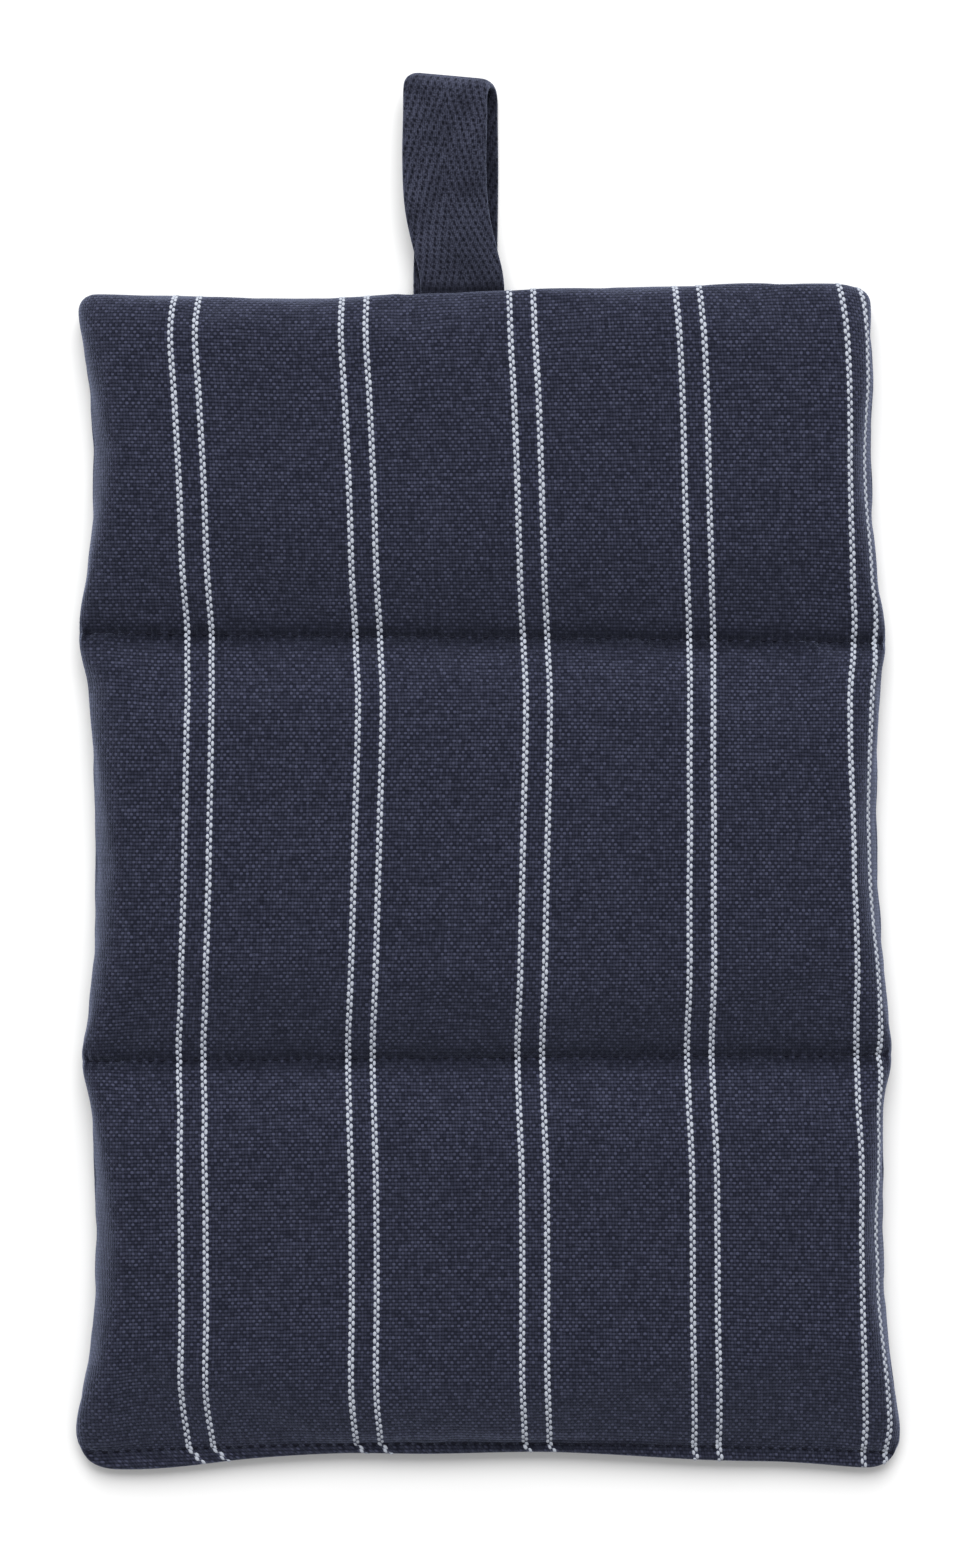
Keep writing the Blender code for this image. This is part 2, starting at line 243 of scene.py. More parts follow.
# %% Sizes of the filled form
CROWN = cad_box[1].z / MM - SEAM_HEIGHT      # filling above the seams
BELLY = 6.6                  # filling below them, before the table presses it flat
TOP_ROLL = 12.0              # width of the rolled top edge
SIDE_ROLL = 10.0             # and of the rolled sides
ROW_HALF = 1.6               # half the thickness where stitches hold the pad
ROW_ROLL = 3.0               # width in which a sewn row thins to the side seam
HEM_HALF = 1.5               # half the thickness of the hem
HEM_FOLD = 1.3               # width of the hem's rounded fold
CREASE = 1.6                 # the cloth dives into a sewn row over this width
CREASE_SHARE = 0.07          # and by this share of its height
FULLNESS = 6.5               # the rest falls off towards the row with this power
SIDE_FALL = 0.07             # share of the crown lost from the middle to the sides
HEM_DROP = 1.0               # the hem hangs below the other seams
HEM_CORNER_DROP = 1.3        # and more so at its corners
HEM_DROP_LENGTH = 24.0

PAIR_PITCH = 40.1            # from one pair of pinstripes to the next
CLOTH_LEFT = -109.4          # side seams, from the third pair, along the cloth
CLOTH_RIGHT = 88.4
SEAM_STEPS = [0.5, 1.2, 2.1, 3.3, 4.8, 6.6, 8.8, 11.2]   # finer columns at a seam
GROOVE_STEPS = [0.12, 0.35, 0.75, 1.3, 2.0, 2.9, 4.2, 6.2, 8.8]      # finer rows at a sewn row
HEM_ROW_STEPS = [0.0, 0.5, 1.2]              # rows from the hem's stitches
HEM_FOLD_STEPS = [HEM_FOLD, 0.7, 0.25, 0.0]  # and to its fold
ROLL_STEPS = 8               # rows round the top edge
EVEN_STEP = 2.75             # columns and rows elsewhere
print("the face crowns", round(CROWN, 1), "mm above the seams")


def roll(distance, width):
    """Fullness of a rolled edge at a distance from its seam: a quarter ellipse."""
    return np.sqrt(1.0 - (1.0 - np.clip(distance / width, 0.0, 1.0)) ** 2)


def swell(distance, half_panel):
    """Fullness of the filling at a distance from a row of stitches: a steep crease and a gentle rise."""
    gentle = 1.0 - (1.0 - np.clip(distance / half_panel, 0.0, 1.0)) ** FULLNESS
    return CREASE_SHARE * roll(distance, CREASE) + (1.0 - CREASE_SHARE) * gentle


def ease(value):
    """0 below 0, 1 above 1 and a smooth rise between."""
    value = np.clip(value, 0.0, 1.0)
    return value * value * (3.0 - 2.0 * value)


def graded(length, start_steps, end_steps):
    """Places along a length: fine steps at both ends and even ones between."""
    inner = length - start_steps[-1] - end_steps[-1]
    count = round(inner / EVEN_STEP)
    even = [start_steps[-1] + inner * i / count for i in range(count + 1)]
    finish = [length - step for step in reversed(end_steps[:-1])]
    return np.array([0.0] + start_steps[:-1] + even + finish + [length])


# %% Rows of the grid, from the top end to the hem's fold
middle_lines = [float(line) for line in lines_at(0.0)]
top_steps = [TOP_ROLL * (1.0 - math.cos(math.pi / 2 * i / ROLL_STEPS)) for i in range(1, ROLL_STEPS + 1)]
hem_depth = middle_lines[HEM] - middle_lines[BOTTOM]
sections = [
    graded(middle_lines[TOP] - middle_lines[FIRST], top_steps, GROOVE_STEPS),
    graded(middle_lines[FIRST] - middle_lines[SECOND], GROOVE_STEPS, GROOVE_STEPS),
    graded(middle_lines[SECOND] - middle_lines[HEM], GROOVE_STEPS, GROOVE_STEPS),
    np.array(HEM_ROW_STEPS + [hem_depth - step for step in HEM_FOLD_STEPS]),
]
row_section, row_share, row_fill = [], [], []
for number, places in enumerate(sections):
    length = places[-1]
    if number == TOP:
        fill = roll(places, TOP_ROLL) * swell(length - places, length)
    elif number < HEM:
        fill = swell(places, length / 2) * swell(length - places, length / 2)
    else:
        fill = np.zeros(len(places))
    keep = slice(0, None) if number == HEM else slice(0, -1)
    row_section += [number] * len(places[keep])
    row_share += list(places[keep] / length)
    row_fill += list(fill[keep])
row_section, row_share, row_fill = (np.array(a) for a in (row_section, row_share, row_fill))
FIRST_ROW, SECOND_ROW, HEM_ROW = (int(np.argmax(row_section == number)) for number in (FIRST, SECOND, HEM))
print("rows of stitches lie at grid rows", FIRST_ROW, SECOND_ROW, "and", HEM_ROW)

# %% Columns of the grid, from the left seam to the right
threads = CLOTH_LEFT + graded(CLOTH_RIGHT - CLOTH_LEFT, SEAM_STEPS, SEAM_STEPS)
rows, columns = len(row_share), len(threads)
print("cover grid:", columns, "columns and", rows, "rows a panel")


def from_middle(x, left, right):
    """-1 at the left side, 0 in the middle and 1 at the right side."""
    return (x - (left + right) / 2) / ((right - left) / 2)


def fullness(fill, side, across):
    """Share of the filling's height, at a distance from the nearer side seam."""
    return fill * roll(side, SIDE_ROLL) * (1.0 - SIDE_FALL * across ** 2)


def half_thickness(x, left, right, fill):
    """Height of the face above the seams, where x may be many places across."""
    side = np.minimum(x - left, right - x)
    held = ROW_HALF * roll(side, ROW_ROLL)
    return held + (CROWN - held) * fullness(fill, side, from_middle(x, left, right))


# %% Share the threads over each cross-section
PROFILE_POINTS = 600

guess_x = np.interp(threads, [CLOTH_LEFT, CLOTH_RIGHT], [left_side.mean(), right_side.mean()])
lines = np.array(lines_at(guess_x))
Y = lines[row_section] + (lines[row_section + 1] - lines[row_section]) * row_share[:, None]
X = np.zeros_like(Y)
spread = 0.5 - 0.5 * np.cos(np.linspace(0.0, math.pi, PROFILE_POINTS))
for j in range(rows):
    left, right = sides_at(Y[j, 0])[0], sides_at(Y[j, -1])[1]
    x = left + (right - left) * spread
    z = half_thickness(x, left, right, row_fill[j])
    run = np.concatenate([[0.0], np.cumsum(np.hypot(np.diff(x), np.diff(z)))])     # along the cloth
    wanted = (threads - CLOTH_LEFT) / (CLOTH_RIGHT - CLOTH_LEFT) * run[-1]
    X[j] = np.interp(wanted, run, x)
print("panel width along the cloth, last row:", round(float(run[-1]), 1))

# %% Let the threads run smoothly past the rows
THREAD_BEND = 6.0            # mm along which a thread changes its course
FREE_OF_SEAM = 14.0          # threads nearer than this to a side seam follow it


def eased_along(values, places):
    """Values along a thread, averaged with their neighbours on both sides."""
    near = np.exp(-((places[:, None] - places[None, :]) / THREAD_BEND) ** 2) * np.abs(np.gradient(places))
    return near @ values / near.sum(axis=1)


to_seam = np.minimum(threads - CLOTH_LEFT, CLOTH_RIGHT - threads)
most_eased = 0.0
for i in range(columns):
    eased = (eased_along(X[:, i], Y[:, i]) - X[:, i]) * float(ease(to_seam[i] / FREE_OF_SEAM))
    most_eased = max(most_eased, float(np.abs(eased).max()))
    X[:, i] += eased
print("threads were moved by up to", round(most_eased, 2), "mm")

# %% [markdown]
# ## Where the cloth was pushed aside
#
# A machine's foot pushes cloth along, so the threads aren't quite where their own length puts them. The table
# says how far they sit to the right of that place, near the first, the third and the fifth pair of pinstripes.
# The push is strongest round the first row, and at the hem the turned cloth was drawn to the right. Between the
# three pairs the push follows a parabola, and outside them a straight line.

# %% Push the threads
Pushed = namedtuple("Pushed", "y left middle right")
PUSHED = [
    Pushed(139.0, 0.2, 0.8, 0.4),
    Pushed(120.0, -0.7, 0.2, 0.3),
    Pushed(103.0, -0.9, 0.5, 0.9),
    Pushed(85.0, 0.0, 1.0, 0.8),
    Pushed(65.0, 1.3, 1.6, 0.9),
    Pushed(56.0, 1.6, 2.3, 2.4),
    Pushed(45.0, 2.0, 2.3, -0.9),
    Pushed(32.0, 1.4, 2.0, -0.9),
    Pushed(11.0, 0.4, 1.4, 0.6),
    Pushed(-13.0, -0.2, 0.3, 0.1),
    Pushed(-33.0, 0.0, -0.3, -0.8),
    Pushed(-43.0, -1.5, -0.3, 1.2),
    Pushed(-55.0, -0.4, 0.0, 0.4),
    Pushed(-70.0, -0.7, 0.2, 1.0),
    Pushed(-94.0, -0.6, 0.2, 0.7),
    Pushed(-115.0, 0.5, 0.0, 0.0),
    Pushed(-127.0, 1.9, 0.5, -0.5),
    Pushed(-135.0, 2.0, 1.3, 1.1),
]
HEM_SHIFT = (3.6, 1.3, 0.5)  # how much further to the right they sit at the hem's fold than at its row
PUSH_FADE = 9.0              # the push fades over this width to the side seams
PUSH_PAIRS = (-2 * PAIR_PITCH, 0.0, 2 * PAIR_PITCH)

push_places = np.array([row.y for row in reversed(PUSHED)])
push_table = np.array([row[1:] for row in reversed(PUSHED)])
into_hem = np.clip((lines[HEM] - Y) / (lines[HEM] - lines[BOTTOM]), 0.0, 1.0)
pushes = []
for k in range(3):
    steps = np.interp(Y, push_places, push_table[:, k])
    pushes.append(np.stack([eased_along(steps[:, i], Y[:, i]) for i in range(columns)], axis=1)
                  + HEM_SHIFT[k] * into_hem)
share = threads / PUSH_PAIRS[2]
bend = (pushes[0] + pushes[2]) / 2 - pushes[1]
push = pushes[1] + (pushes[2] - pushes[0]) / 2 * share + bend * np.minimum(share ** 2, 1.0)
X = X + push * ease(to_seam / PUSH_FADE)
print("threads are pushed by", round(float(push.min()), 1), "to", round(float(push.max()), 1), "mm")

# %% [markdown]
# ## The filled form
#
# The two panels swell from the seams in a quarter ellipse and from the sewn rows in a steeper curve, as tightly
# filled cloth does. The table presses the back flat. Folding has left a few soft wrinkles in the face, and over
# the middle of the hem the last panel hangs a little over the row. Along the edge, where the two panels are sewn
# together from inside, the seam is drawn in and makes a fine groove. At the loop it stays open for the tape.

# %% Heights of both panels
SEAM_NOTCH = 0.5             # the seam is drawn in by this much
SEAM_NOTCH_HEIGHT = 0.6      # and the groove opens over this height
PRESSED = 0.5                # mm over which the back turns from round to flat
REST_LIFT = 0.27             # the yarns that stand out of the back hold the cloth this far off the table
TOP_CORNER = 4.5             # corner radii in plan
BOTTOM_LEFT_CORNER = 9.5
BOTTOM_RIGHT_CORNER = 8.0


def seam_level(x, y):
    """Height of the seams: level, but sinking to the hem and its corners."""
    sink = ease((hem_line(x) + HEM_DROP_LENGTH - y) / HEM_DROP_LENGTH)
    return SEAM_HEIGHT - sink * (HEM_DROP + HEM_CORNER_DROP * from_middle(x, *sides_at(y)) ** 2)


left, right = sides_at(Y)
side = np.maximum(np.minimum(X - left, right - X), 0.0)
side[:, 0] = side[:, -1] = 0.0
top_gap = lines[TOP] - Y
bottom_gap = Y - lines[BOTTOM]
end_gap = np.minimum(top_gap, bottom_gap)
level = seam_level(X, Y)
full = fullness(row_fill[:, None], side, from_middle(X, left, right))
held = ROW_HALF * roll(side, ROW_ROLL) * roll(top_gap, ROW_ROLL)
in_hem = Y < lines[HEM]
held = np.where(in_hem, HEM_HALF * roll(side, ROW_ROLL) * roll(bottom_gap, HEM_FOLD), held)
rise = held + (CROWN - held) * full
fall = held + (BELLY - held) * full
print("above the seams:", round(float(rise.max()), 2), "mm, below them:", round(float(fall.max()), 2), "mm")

# %% Soft wrinkles in the face
Wrinkle = namedtuple("Wrinkle", "x y to_x to_y")
WRINKLES = [
    Wrinkle(-68.0, -21.4, -39.0, -19.0),
    Wrinkle(-39.0, -19.0, -1.0, -25.0),
    Wrinkle(-1.0, -25.0, 51.0, -32.0),
    Wrinkle(-84.0, 23.0, 4.0, 22.0),
    Wrinkle(56.0, 22.0, 82.0, 23.0),
    Wrinkle(56.0, -4.0, 77.0, -15.0),
    Wrinkle(-87.0, -1.0, -68.0, 6.0),
]
WRINKLE_HEIGHT = 0.28        # mm
WRINKLE_WIDTH = 3.2
WRINKLE_END = 7.0            # a wrinkle dies away over this length

for wrinkle in WRINKLES:
    length = math.hypot(wrinkle.to_x - wrinkle.x, wrinkle.to_y - wrinkle.y)
    ahead_x, ahead_y = (wrinkle.to_x - wrinkle.x) / length, (wrinkle.to_y - wrinkle.y) / length
    forward = (X - wrinkle.x) * ahead_x + (Y - wrinkle.y) * ahead_y
    sideways = (Y - wrinkle.y) * ahead_x - (X - wrinkle.x) * ahead_y
    beyond = np.maximum(np.maximum(-forward, forward - length), 0.0)
    rise += WRINKLE_HEIGHT * np.exp(-(sideways / WRINKLE_WIDTH) ** 2 - (beyond / WRINKLE_END) ** 2)
print(len(WRINKLES), "soft wrinkles")

# %% The panel hangs over the middle of the hem's row
OVERHANG = 1.5               # mm higher than the filling alone
OVERHANG_X = -14.0           # most of all here
OVERHANG_REACH = 36.0
OVERHANG_STEEP = 1.5         # it rises within this distance of the row
OVERHANG_SOFT = 5.0          # and dies away over this one

above_hem = np.maximum(Y - lines[HEM], 0.0)
overhang = OVERHANG * np.exp(-((X - OVERHANG_X) / OVERHANG_REACH) ** 2)
rise += overhang * roll(above_hem, OVERHANG_STEEP) * np.exp(-(above_hem / OVERHANG_SOFT) ** 2)
print("overhang: up to", round(float(overhang.max()), 2), "mm")

# %% The seam's groove, the round corners and the slot for the tape
TAPE_WIDTH = 20.0
TAPE_THICKNESS = 1.2
TAPE_LEFT, TAPE_RIGHT = -17.4, 4.9           # sides of the opening in the top seam
SLOT_HALF = 1.62             # half its height
SLOT_DEPTH = 4.0
SLOT_FADE = 2.2

in_slot = ease(1.0 - np.maximum(TAPE_LEFT - X[0], X[0] - TAPE_RIGHT) / SLOT_FADE)
rise[1] = np.maximum(rise[1], SLOT_HALF * in_slot)
fall[1] = np.maximum(fall[1], SLOT_HALF * in_slot)


def groove(thickness):
    """How far a point is drawn in beside the seam."""
    return SEAM_NOTCH * np.exp(-(thickness / SEAM_NOTCH_HEIGHT) ** 2)


# At a corner X and Y both give way, each by its share of the round.
radius = np.where(Y > 0, TOP_CORNER, np.where(X < 0, BOTTOM_LEFT_CORNER, BOTTOM_RIGHT_CORNER))
out_x = np.maximum(radius - side, 0.0)
out_y = np.maximum(radius - end_gap, 0.0)
round_x = X - np.sign(X) * out_x * (1.0 - np.sqrt(1.0 - out_y ** 2 / (2 * radius ** 2)))
round_y = Y - np.sign(Y) * out_y * (1.0 - np.sqrt(1.0 - out_x ** 2 / (2 * radius ** 2)))


def placed(thickness):
    """X and Y of one panel's points, with round corners and drawn in beside the seams."""
    near_side = np.where(side < ROW_ROLL, groove(thickness), 0.0)
    near_top = np.where(top_gap < ROW_ROLL, groove(thickness), 0.0)
    near_bottom = np.where(bottom_gap < HEM_FOLD, groove(thickness), 0.0)
    return round_x - np.sign(X) * near_side, round_y - near_top + near_bottom


def pressed_flat(z):
    """Height of the back: the table stops it, softly."""
    return np.maximum(0.5 * (z + np.sqrt(z * z + PRESSED ** 2)), REST_LIFT)


front_x, front_y = placed(rise)
back_x, back_y = placed(fall)
front = np.stack([front_x, front_y, level + rise], axis=-1)
back = np.stack([back_x, back_y, pressed_flat(level - fall)], axis=-1)
front[0, :, 1] -= SLOT_DEPTH * in_slot
print("face rises to", round(float(front[..., 2].max()), 2), "mm")

# %% [markdown]
# ## The cover as a mesh
#
# Both panels become one closed mesh that shares its edge, so the seam is closed all round. Two UV maps go with
# it. The one called cloth holds the thread coordinates in millimetres, with the back panel set to one side, and
# the weave reads that one. The other lays both panels side by side in the unit square, and what is sewn on the
# cover finds its place there.

# %% Length of the cloth along its middle column
middle = int(np.argmin(np.abs(threads)))
path = front[:, middle, 1:].copy()
path[0, 0] = lines[TOP][middle]
along = np.concatenate([[0.0], np.cumsum(np.hypot(*np.diff(path, axis=0).T))])
cloth_v = np.repeat(along[:, None], columns, axis=1)
cloth_v[HEM_ROW:] = along[HEM_ROW] + lines[HEM] - Y[HEM_ROW:]
CLOTH_LENGTH = float(cloth_v.max())
print("a panel is", round(CLOTH_RIGHT - CLOTH_LEFT, 1), "by", round(CLOTH_LENGTH, 1), "mm of cloth")

# %% Cloth coordinates, with the cloth cut away at the round corners
thread_u = np.array([np.interp(round_x[j], X[j], threads) for j in range(rows)])
thread_v = np.array([np.interp(-round_y[:, i], -Y[:, i], cloth_v[:, i]) for i in range(columns)]).T
print("threads at the lower corners:", [round(float(thread_u[-1, i]), 1) for i in (0, -1)], "mm across")

# %% Places in the unit square
BACK_PANEL_AT = 8 * PAIR_PITCH               # the back panel's threads are numbered from here on
MAP_MARGIN = 0.01
CLOTH_WIDTH = CLOTH_RIGHT - CLOTH_LEFT
MAP_SHARE = 1.0 - 2.0 * MAP_MARGIN


def map_across(u, panel):
    """Place across the unit square of a thread place in mm, on the front panel, 0, or the back one, 1."""
    return (u - CLOTH_LEFT) * (MAP_SHARE / CLOTH_WIDTH / 2) + (panel + MAP_MARGIN) / 2


def map_up(v):
    """Place up the unit square of a thread place in mm."""
    return (v - CLOTH_LENGTH) * (-MAP_SHARE / CLOTH_LENGTH) + MAP_MARGIN


print("front panel spans", [round(map_across(u, 0), 3) for u in (CLOTH_LEFT, CLOTH_RIGHT)], "of the square")

# %% Points and faces of both panels
def edge_shared(j, i):
    """Whether a grid point is on the seam that both panels share."""
    return j in (0, rows - 1) or i in (0, columns - 1)


points, front_index, back_index = [], {}, {}
for j in range(rows):
    for i in range(columns):
        front_index[j, i] = len(points)
        points.append(front[j, i])
for j in range(rows):
    for i in range(columns):
        if edge_shared(j, i):
            back_index[j, i] = front_index[j, i]
        else:
            back_index[j, i] = len(points)
            points.append(back[j, i])
faces, face_stations = [], []
for panel, index in enumerate((front_index, back_index)):
    for j in range(rows - 1):
        for i in range(columns - 1):
            stations = [(j, i), (j + 1, i), (j + 1, i + 1), (j, i + 1)]
            if panel:
                stations.reverse()
            faces.append([index[station] for station in stations])
            face_stations.append([(panel, *station) for station in stations])
print("cover:", len(points), "points,", len(faces), "faces")

# %% Build the mesh with its two maps
cover_mesh = bpy.data.meshes.new("canvas_cover")
cover_mesh.from_pydata([tuple(point * MM) for point in points], [], faces)
cover_mesh.shade_smooth()
cloth_map = cover_mesh.uv_layers.new(name="cloth")
bake_map = cover_mesh.uv_layers.new(name="OFBake")
cloth_uv, bake_uv = [], []
for stations in face_stations:
    for panel, j, i in stations:
        u, v = thread_u[j, i], thread_v[j, i]
        cloth_uv += [u + panel * BACK_PANEL_AT, v]
        bake_uv += [map_across(u, panel), map_up(v)]
cloth_map.uv.foreach_set("vector", cloth_uv)
bake_map.uv.foreach_set("vector", bake_uv)
cover = bpy.data.objects.new("canvas_cover", cover_mesh)
bpy.context.scene.collection.objects.link(cover)
print("maps of the cover:", [layer.name for layer in cover_mesh.uv_layers])

# %% [markdown]
# ## Letting the cloth settle
#
# A formula makes a form that is too even. Blender's cloth simulation lets the panels settle over their filling:
# the seams, the rows and the hem are held, the cloth is given a little more width and length than the form
# has, as real canvas has where a row gathers it, and a light pressure stands for the wadding. Gravity is off.
# The result is limited to small moves, so that the pad keeps its measured form, and one subdivision smooths it.

# %% What the stitches hold
PRESSED_BELOW = 0.8          # the back doesn't move where the table holds it, mm

held_points = set()
for j in range(rows):
    for i in range(columns):
        in_row = j in (FIRST_ROW, SECOND_ROW) or j >= HEM_ROW
        if in_row or edge_shared(j, i) or (j == 1 and in_slot[i] > 0):
            held_points |= {front_index[j, i], back_index[j, i]}
        if back[j, i, 2] < PRESSED_BELOW:
            held_points.add(back_index[j, i])
print(len(held_points), "points are held,", len(points) - len(held_points), "are free")

# %% Simulate
EXTRA_CLOTH = 0.006          # share by which the cloth is larger than the form
PRESSURE = 0.6
STIFFNESS = 0.4              # against bending
SETTLE_QUALITY = 6           # steps a frame
SETTLE_FRAMES = 20
MOST_MOVE = 1.3              # mm


def mesh_points(mesh):
    """The places of a mesh's vertices, in mm."""
    flat = np.empty(len(mesh.vertices) * 3)
    mesh.vertices.foreach_get("co", flat)
    return flat.reshape(-1, 3) / MM


def settle(thing):
    """Run the cloth simulation and return each vertex's move in mm, limited."""
    group = thing.vertex_groups.new(name="sewn")
    group.add(sorted(held_points), 1.0, "REPLACE")
    cloth = thing.modifiers.new("settle", "CLOTH")
    cloth.settings.quality = SETTLE_QUALITY
    cloth.settings.vertex_group_mass = "sewn"
    cloth.settings.use_pressure = True
    cloth.settings.uniform_pressure_force = PRESSURE
    cloth.settings.shrink_min = -EXTRA_CLOTH
    cloth.settings.bending_stiffness = STIFFNESS
    cloth.settings.effector_weights.gravity = 0.0
    cloth.point_cache.frame_end = SETTLE_FRAMES
    for number in range(1, SETTLE_FRAMES + 1):
        bpy.context.scene.frame_set(number)
    view = thing.evaluated_get(bpy.context.evaluated_depsgraph_get())
    moved = mesh_points(view.data) - mesh_points(thing.data)
    thing.modifiers.remove(cloth)
    bpy.context.scene.frame_set(1)
    length = np.linalg.norm(moved, axis=1, keepdims=True)
    limit = MOST_MOVE * np.tanh(length / MOST_MOVE)
    return moved * limit / np.maximum(length, 1e-9)


settled = np.array(points)
move = settle(cover)
settled += move
print("settling moved points by up to", round(float(np.linalg.norm(move, axis=1).max()), 2), "mm, on average",
      round(float(np.linalg.norm(move, axis=1).mean()), 3))

# %% Subdivide the settled cover
settled[:, 2] = np.maximum(settled[:, 2], REST_LIFT)
cover_mesh.vertices.foreach_set("co", (settled * MM).ravel())
smoother = cover.modifiers.new("smooth", "SUBSURF")
smoother.levels = smoother.render_levels = 1


def made_plain(thing):
    """Replace an object's mesh with its evaluated one and drop its modifiers."""
    bpy.context.view_layer.update()
    view = thing.evaluated_get(bpy.context.evaluated_depsgraph_get())
    mesh = bpy.data.meshes.new_from_object(view)
    mesh.name = thing.name
    thing.modifiers.clear()
    thing.data = mesh
    return thing


made_plain(cover)
print("cover:", len(cover.data.polygons), "faces")

# %% [markdown]
# ## Writing shader maths as expressions
#
# A weave is a formula of the thread coordinates. To keep it readable, one small class wraps a node's output and
# gives it the usual operators: each adds a Math node. A second class holds a material and makes any other node
# from its type, its settings and what goes into its sockets.

# %% Values that vary over a surface
class Value:
    """A number that varies over a surface, as the output of a shader node."""

    def __init__(self, socket):
        self.socket = socket

    def __add__(self, other):
        return maths("ADD", self, other)

    def __sub__(self, other):
        return maths("SUBTRACT", self, other)

    def __rsub__(self, other):
        return maths("SUBTRACT", other, self)

    def __mul__(self, other):
        return maths("MULTIPLY", self, other)

    def __truediv__(self, other):
        return maths("DIVIDE", self, other)

    def __mod__(self, other):
        return maths("FLOORED_MODULO", self, other)

    def __gt__(self, other):
        return maths("GREATER_THAN", self, other)

    __radd__ = __add__
    __rmul__ = __mul__


def socket_named(node, name):
    """A node's input by its name, with _ for a space, or by its number after an i."""
    if name[0] == "i" and name[1:].isdigit():
        return node.inputs[int(name[1:])]
    return node.inputs[name.replace("_", " ")]


def plug(tree, socket, value):
    """Link a value to a socket, or set the socket to a constant."""
    if isinstance(value, Value):
        tree.links.new(socket, value.socket)
    else:
        socket.default_value = value


def maths(operation, *values):
    """A Math node on numbers and Values, of which one at least is a Value."""
    tree = next(value.socket.id_data for value in values if isinstance(value, Value))
    node = tree.nodes.new("ShaderNodeMath")
    node.operation = operation
    for socket, value in zip(node.inputs, values):
        plug(tree, socket, value)
    return Value(node.outputs[0])


def root(value):
    """The square root, or 0 where a value is below 0."""
    return maths("SQRT", maths("MAXIMUM", value, 0.0))


def cosine(value):
    """The cosine of an angle in radians."""
    return maths("COSINE", value)


def hill(value, reach):
    """1 where a value is zero, falling off to nothing over about twice the reach."""
    return maths("EXPONENT", 0.0 - value * value * (1.0 / reach ** 2))


def varied(noise, least, most):
    """A number from least to most, as a noise goes from 0 to 1."""
    return least + (most - least) * noise


# %% Finishes made of such values
class Finish:
    """A material with a Principled shader, whose varying inputs come from Values."""

    def __init__(self, name, **constants):
        self.material = bpy.data.materials.new(name)
        self.material.use_nodes = True
        self.tree = self.material.node_tree
        self.shader = self.tree.nodes["Principled BSDF"]
        for name, value in constants.items():
            socket_named(self.shader, name).default_value = value

    def node(self, kind, settings=None, output=0, **inputs):
        """Any other node: its type, its settings, and values or links of its sockets."""
        made = self.tree.nodes.new("ShaderNode" + kind)
        for name, setting in (settings or {}).items():
            setattr(made, name, setting)
        for name, value in inputs.items():
            plug(self.tree, socket_named(made, name), value)
        return Value(made.outputs[output])

    def thread_places(self, map_name):
        """The two coordinates of a UV map, in mm."""
        place = self.node("UVMap", {"uv_map": map_name})
        split = self.tree.nodes.new("ShaderNodeSeparateXYZ")
        plug(self.tree, split.inputs[0], place)
        return Value(split.outputs[0]), Value(split.outputs[1])

    def at(self, x, y, z=0.0):
        """A place for a noise, from three numbers."""
        return self.node("CombineXYZ", X=x, Y=y, Z=z)

    def noise(self, place, scale, detail=2.0):
        """Soft noise from 0 to 1 at a place."""
        return self.node("TexNoise", Vector=place, Scale=scale, Detail=detail)

    def mixed(self, factor, a, b):
        """A colour between two, by a factor from 0 to 1."""
        return self.node("Mix", {"data_type": "RGBA"}, 2, i0=factor, i6=a, i7=b)

    def use(self, colour, height=None, depth=0.1):
        """Plug a colour and a bump of some depth in mm into the shader."""
        plug(self.tree, self.shader.inputs["Base Color"], colour)
        if height is not None:
            bump = self.node("Bump", Height=height, Distance=depth * MM, Strength=1.0)
            plug(self.tree, self.shader.inputs["Normal"], bump)


# %% [markdown]
# ## The canvas
#
# Plain weave is a brick pattern: each weft thread, or pick, goes over one warp thread, or end, and under the
# next, and its neighbour does the opposite. A thread that comes up over another is a short rounded dash. The
# shader works out both threads' height at a point and shows the upper one. Here the picks are thick and the ends
# thin and dull, so the picks make the face. Yarn is never even, so each thread's tone drifts along its length,
# and painted shade, taken from the threads' height, darkens the pits between the dashes. A little sheen lets the
# fuzz of the yarn catch the light where the cloth turns away, which is why the rolled edges look pale. Along a
# row of stitches the cloth is pressed, gathered and in shade, more than a mesh of this size can show, so the
# finish paints shade into its colour there and its bump puckers it. Painted highlights lighten the cloth between
# two stitches and where the last panel hangs over the hem's row.

# %% Canvas sizes
ENDS_A_PAIR = 55             # warp threads from one pair of pinstripes to the next
END_PITCH = PAIR_PITCH / ENDS_A_PAIR
PICK_PITCH = 0.862
YARN_SWAY = 0.5              # the threads' places vary over a fraction of this, mm
CRIMP = 0.2                  # how far a thread swings up and down
WEFT_HEIGHT, WARP_HEIGHT = 0.55, 0.5         # how far its round back stands up, in the same unit
WEFT_WIDTH, WARP_WIDTH = 0.4226, 0.38        # half the width of a thread, in pitches
WHITE_ENDS_AT = 4            # a pair's four white ends lie next to this many pitches from its middle
print("one end every", round(END_PITCH, 3), "mm, one pick every", PICK_PITCH, "mm")

# %% Canvas colours
NAVY_LIGHT = (0.047, 0.0508, 0.0845, 1.0)
NAVY_DARK = (0.0005, 0.0007, 0.003, 1.0)
WHITE_YARN = (0.46, 0.49, 0.55, 1.0)
WHITE_YARN_LOW = (0.24, 0.26, 0.31, 1.0)
YARN_SHADES = (0.7, 2.3)     # a yarn's brightness drifts along it between these
WARP_SHARE = 0.58            # brightness of a warp thread beside a weft one
DASH_SHADES = (0.55, 1.45)   # each dash has its own
PATCH_SHADES = (0.9, 1.1)    # and so has each patch of cloth
WEAVE_DEPTH = 0.22           # of the bump, mm

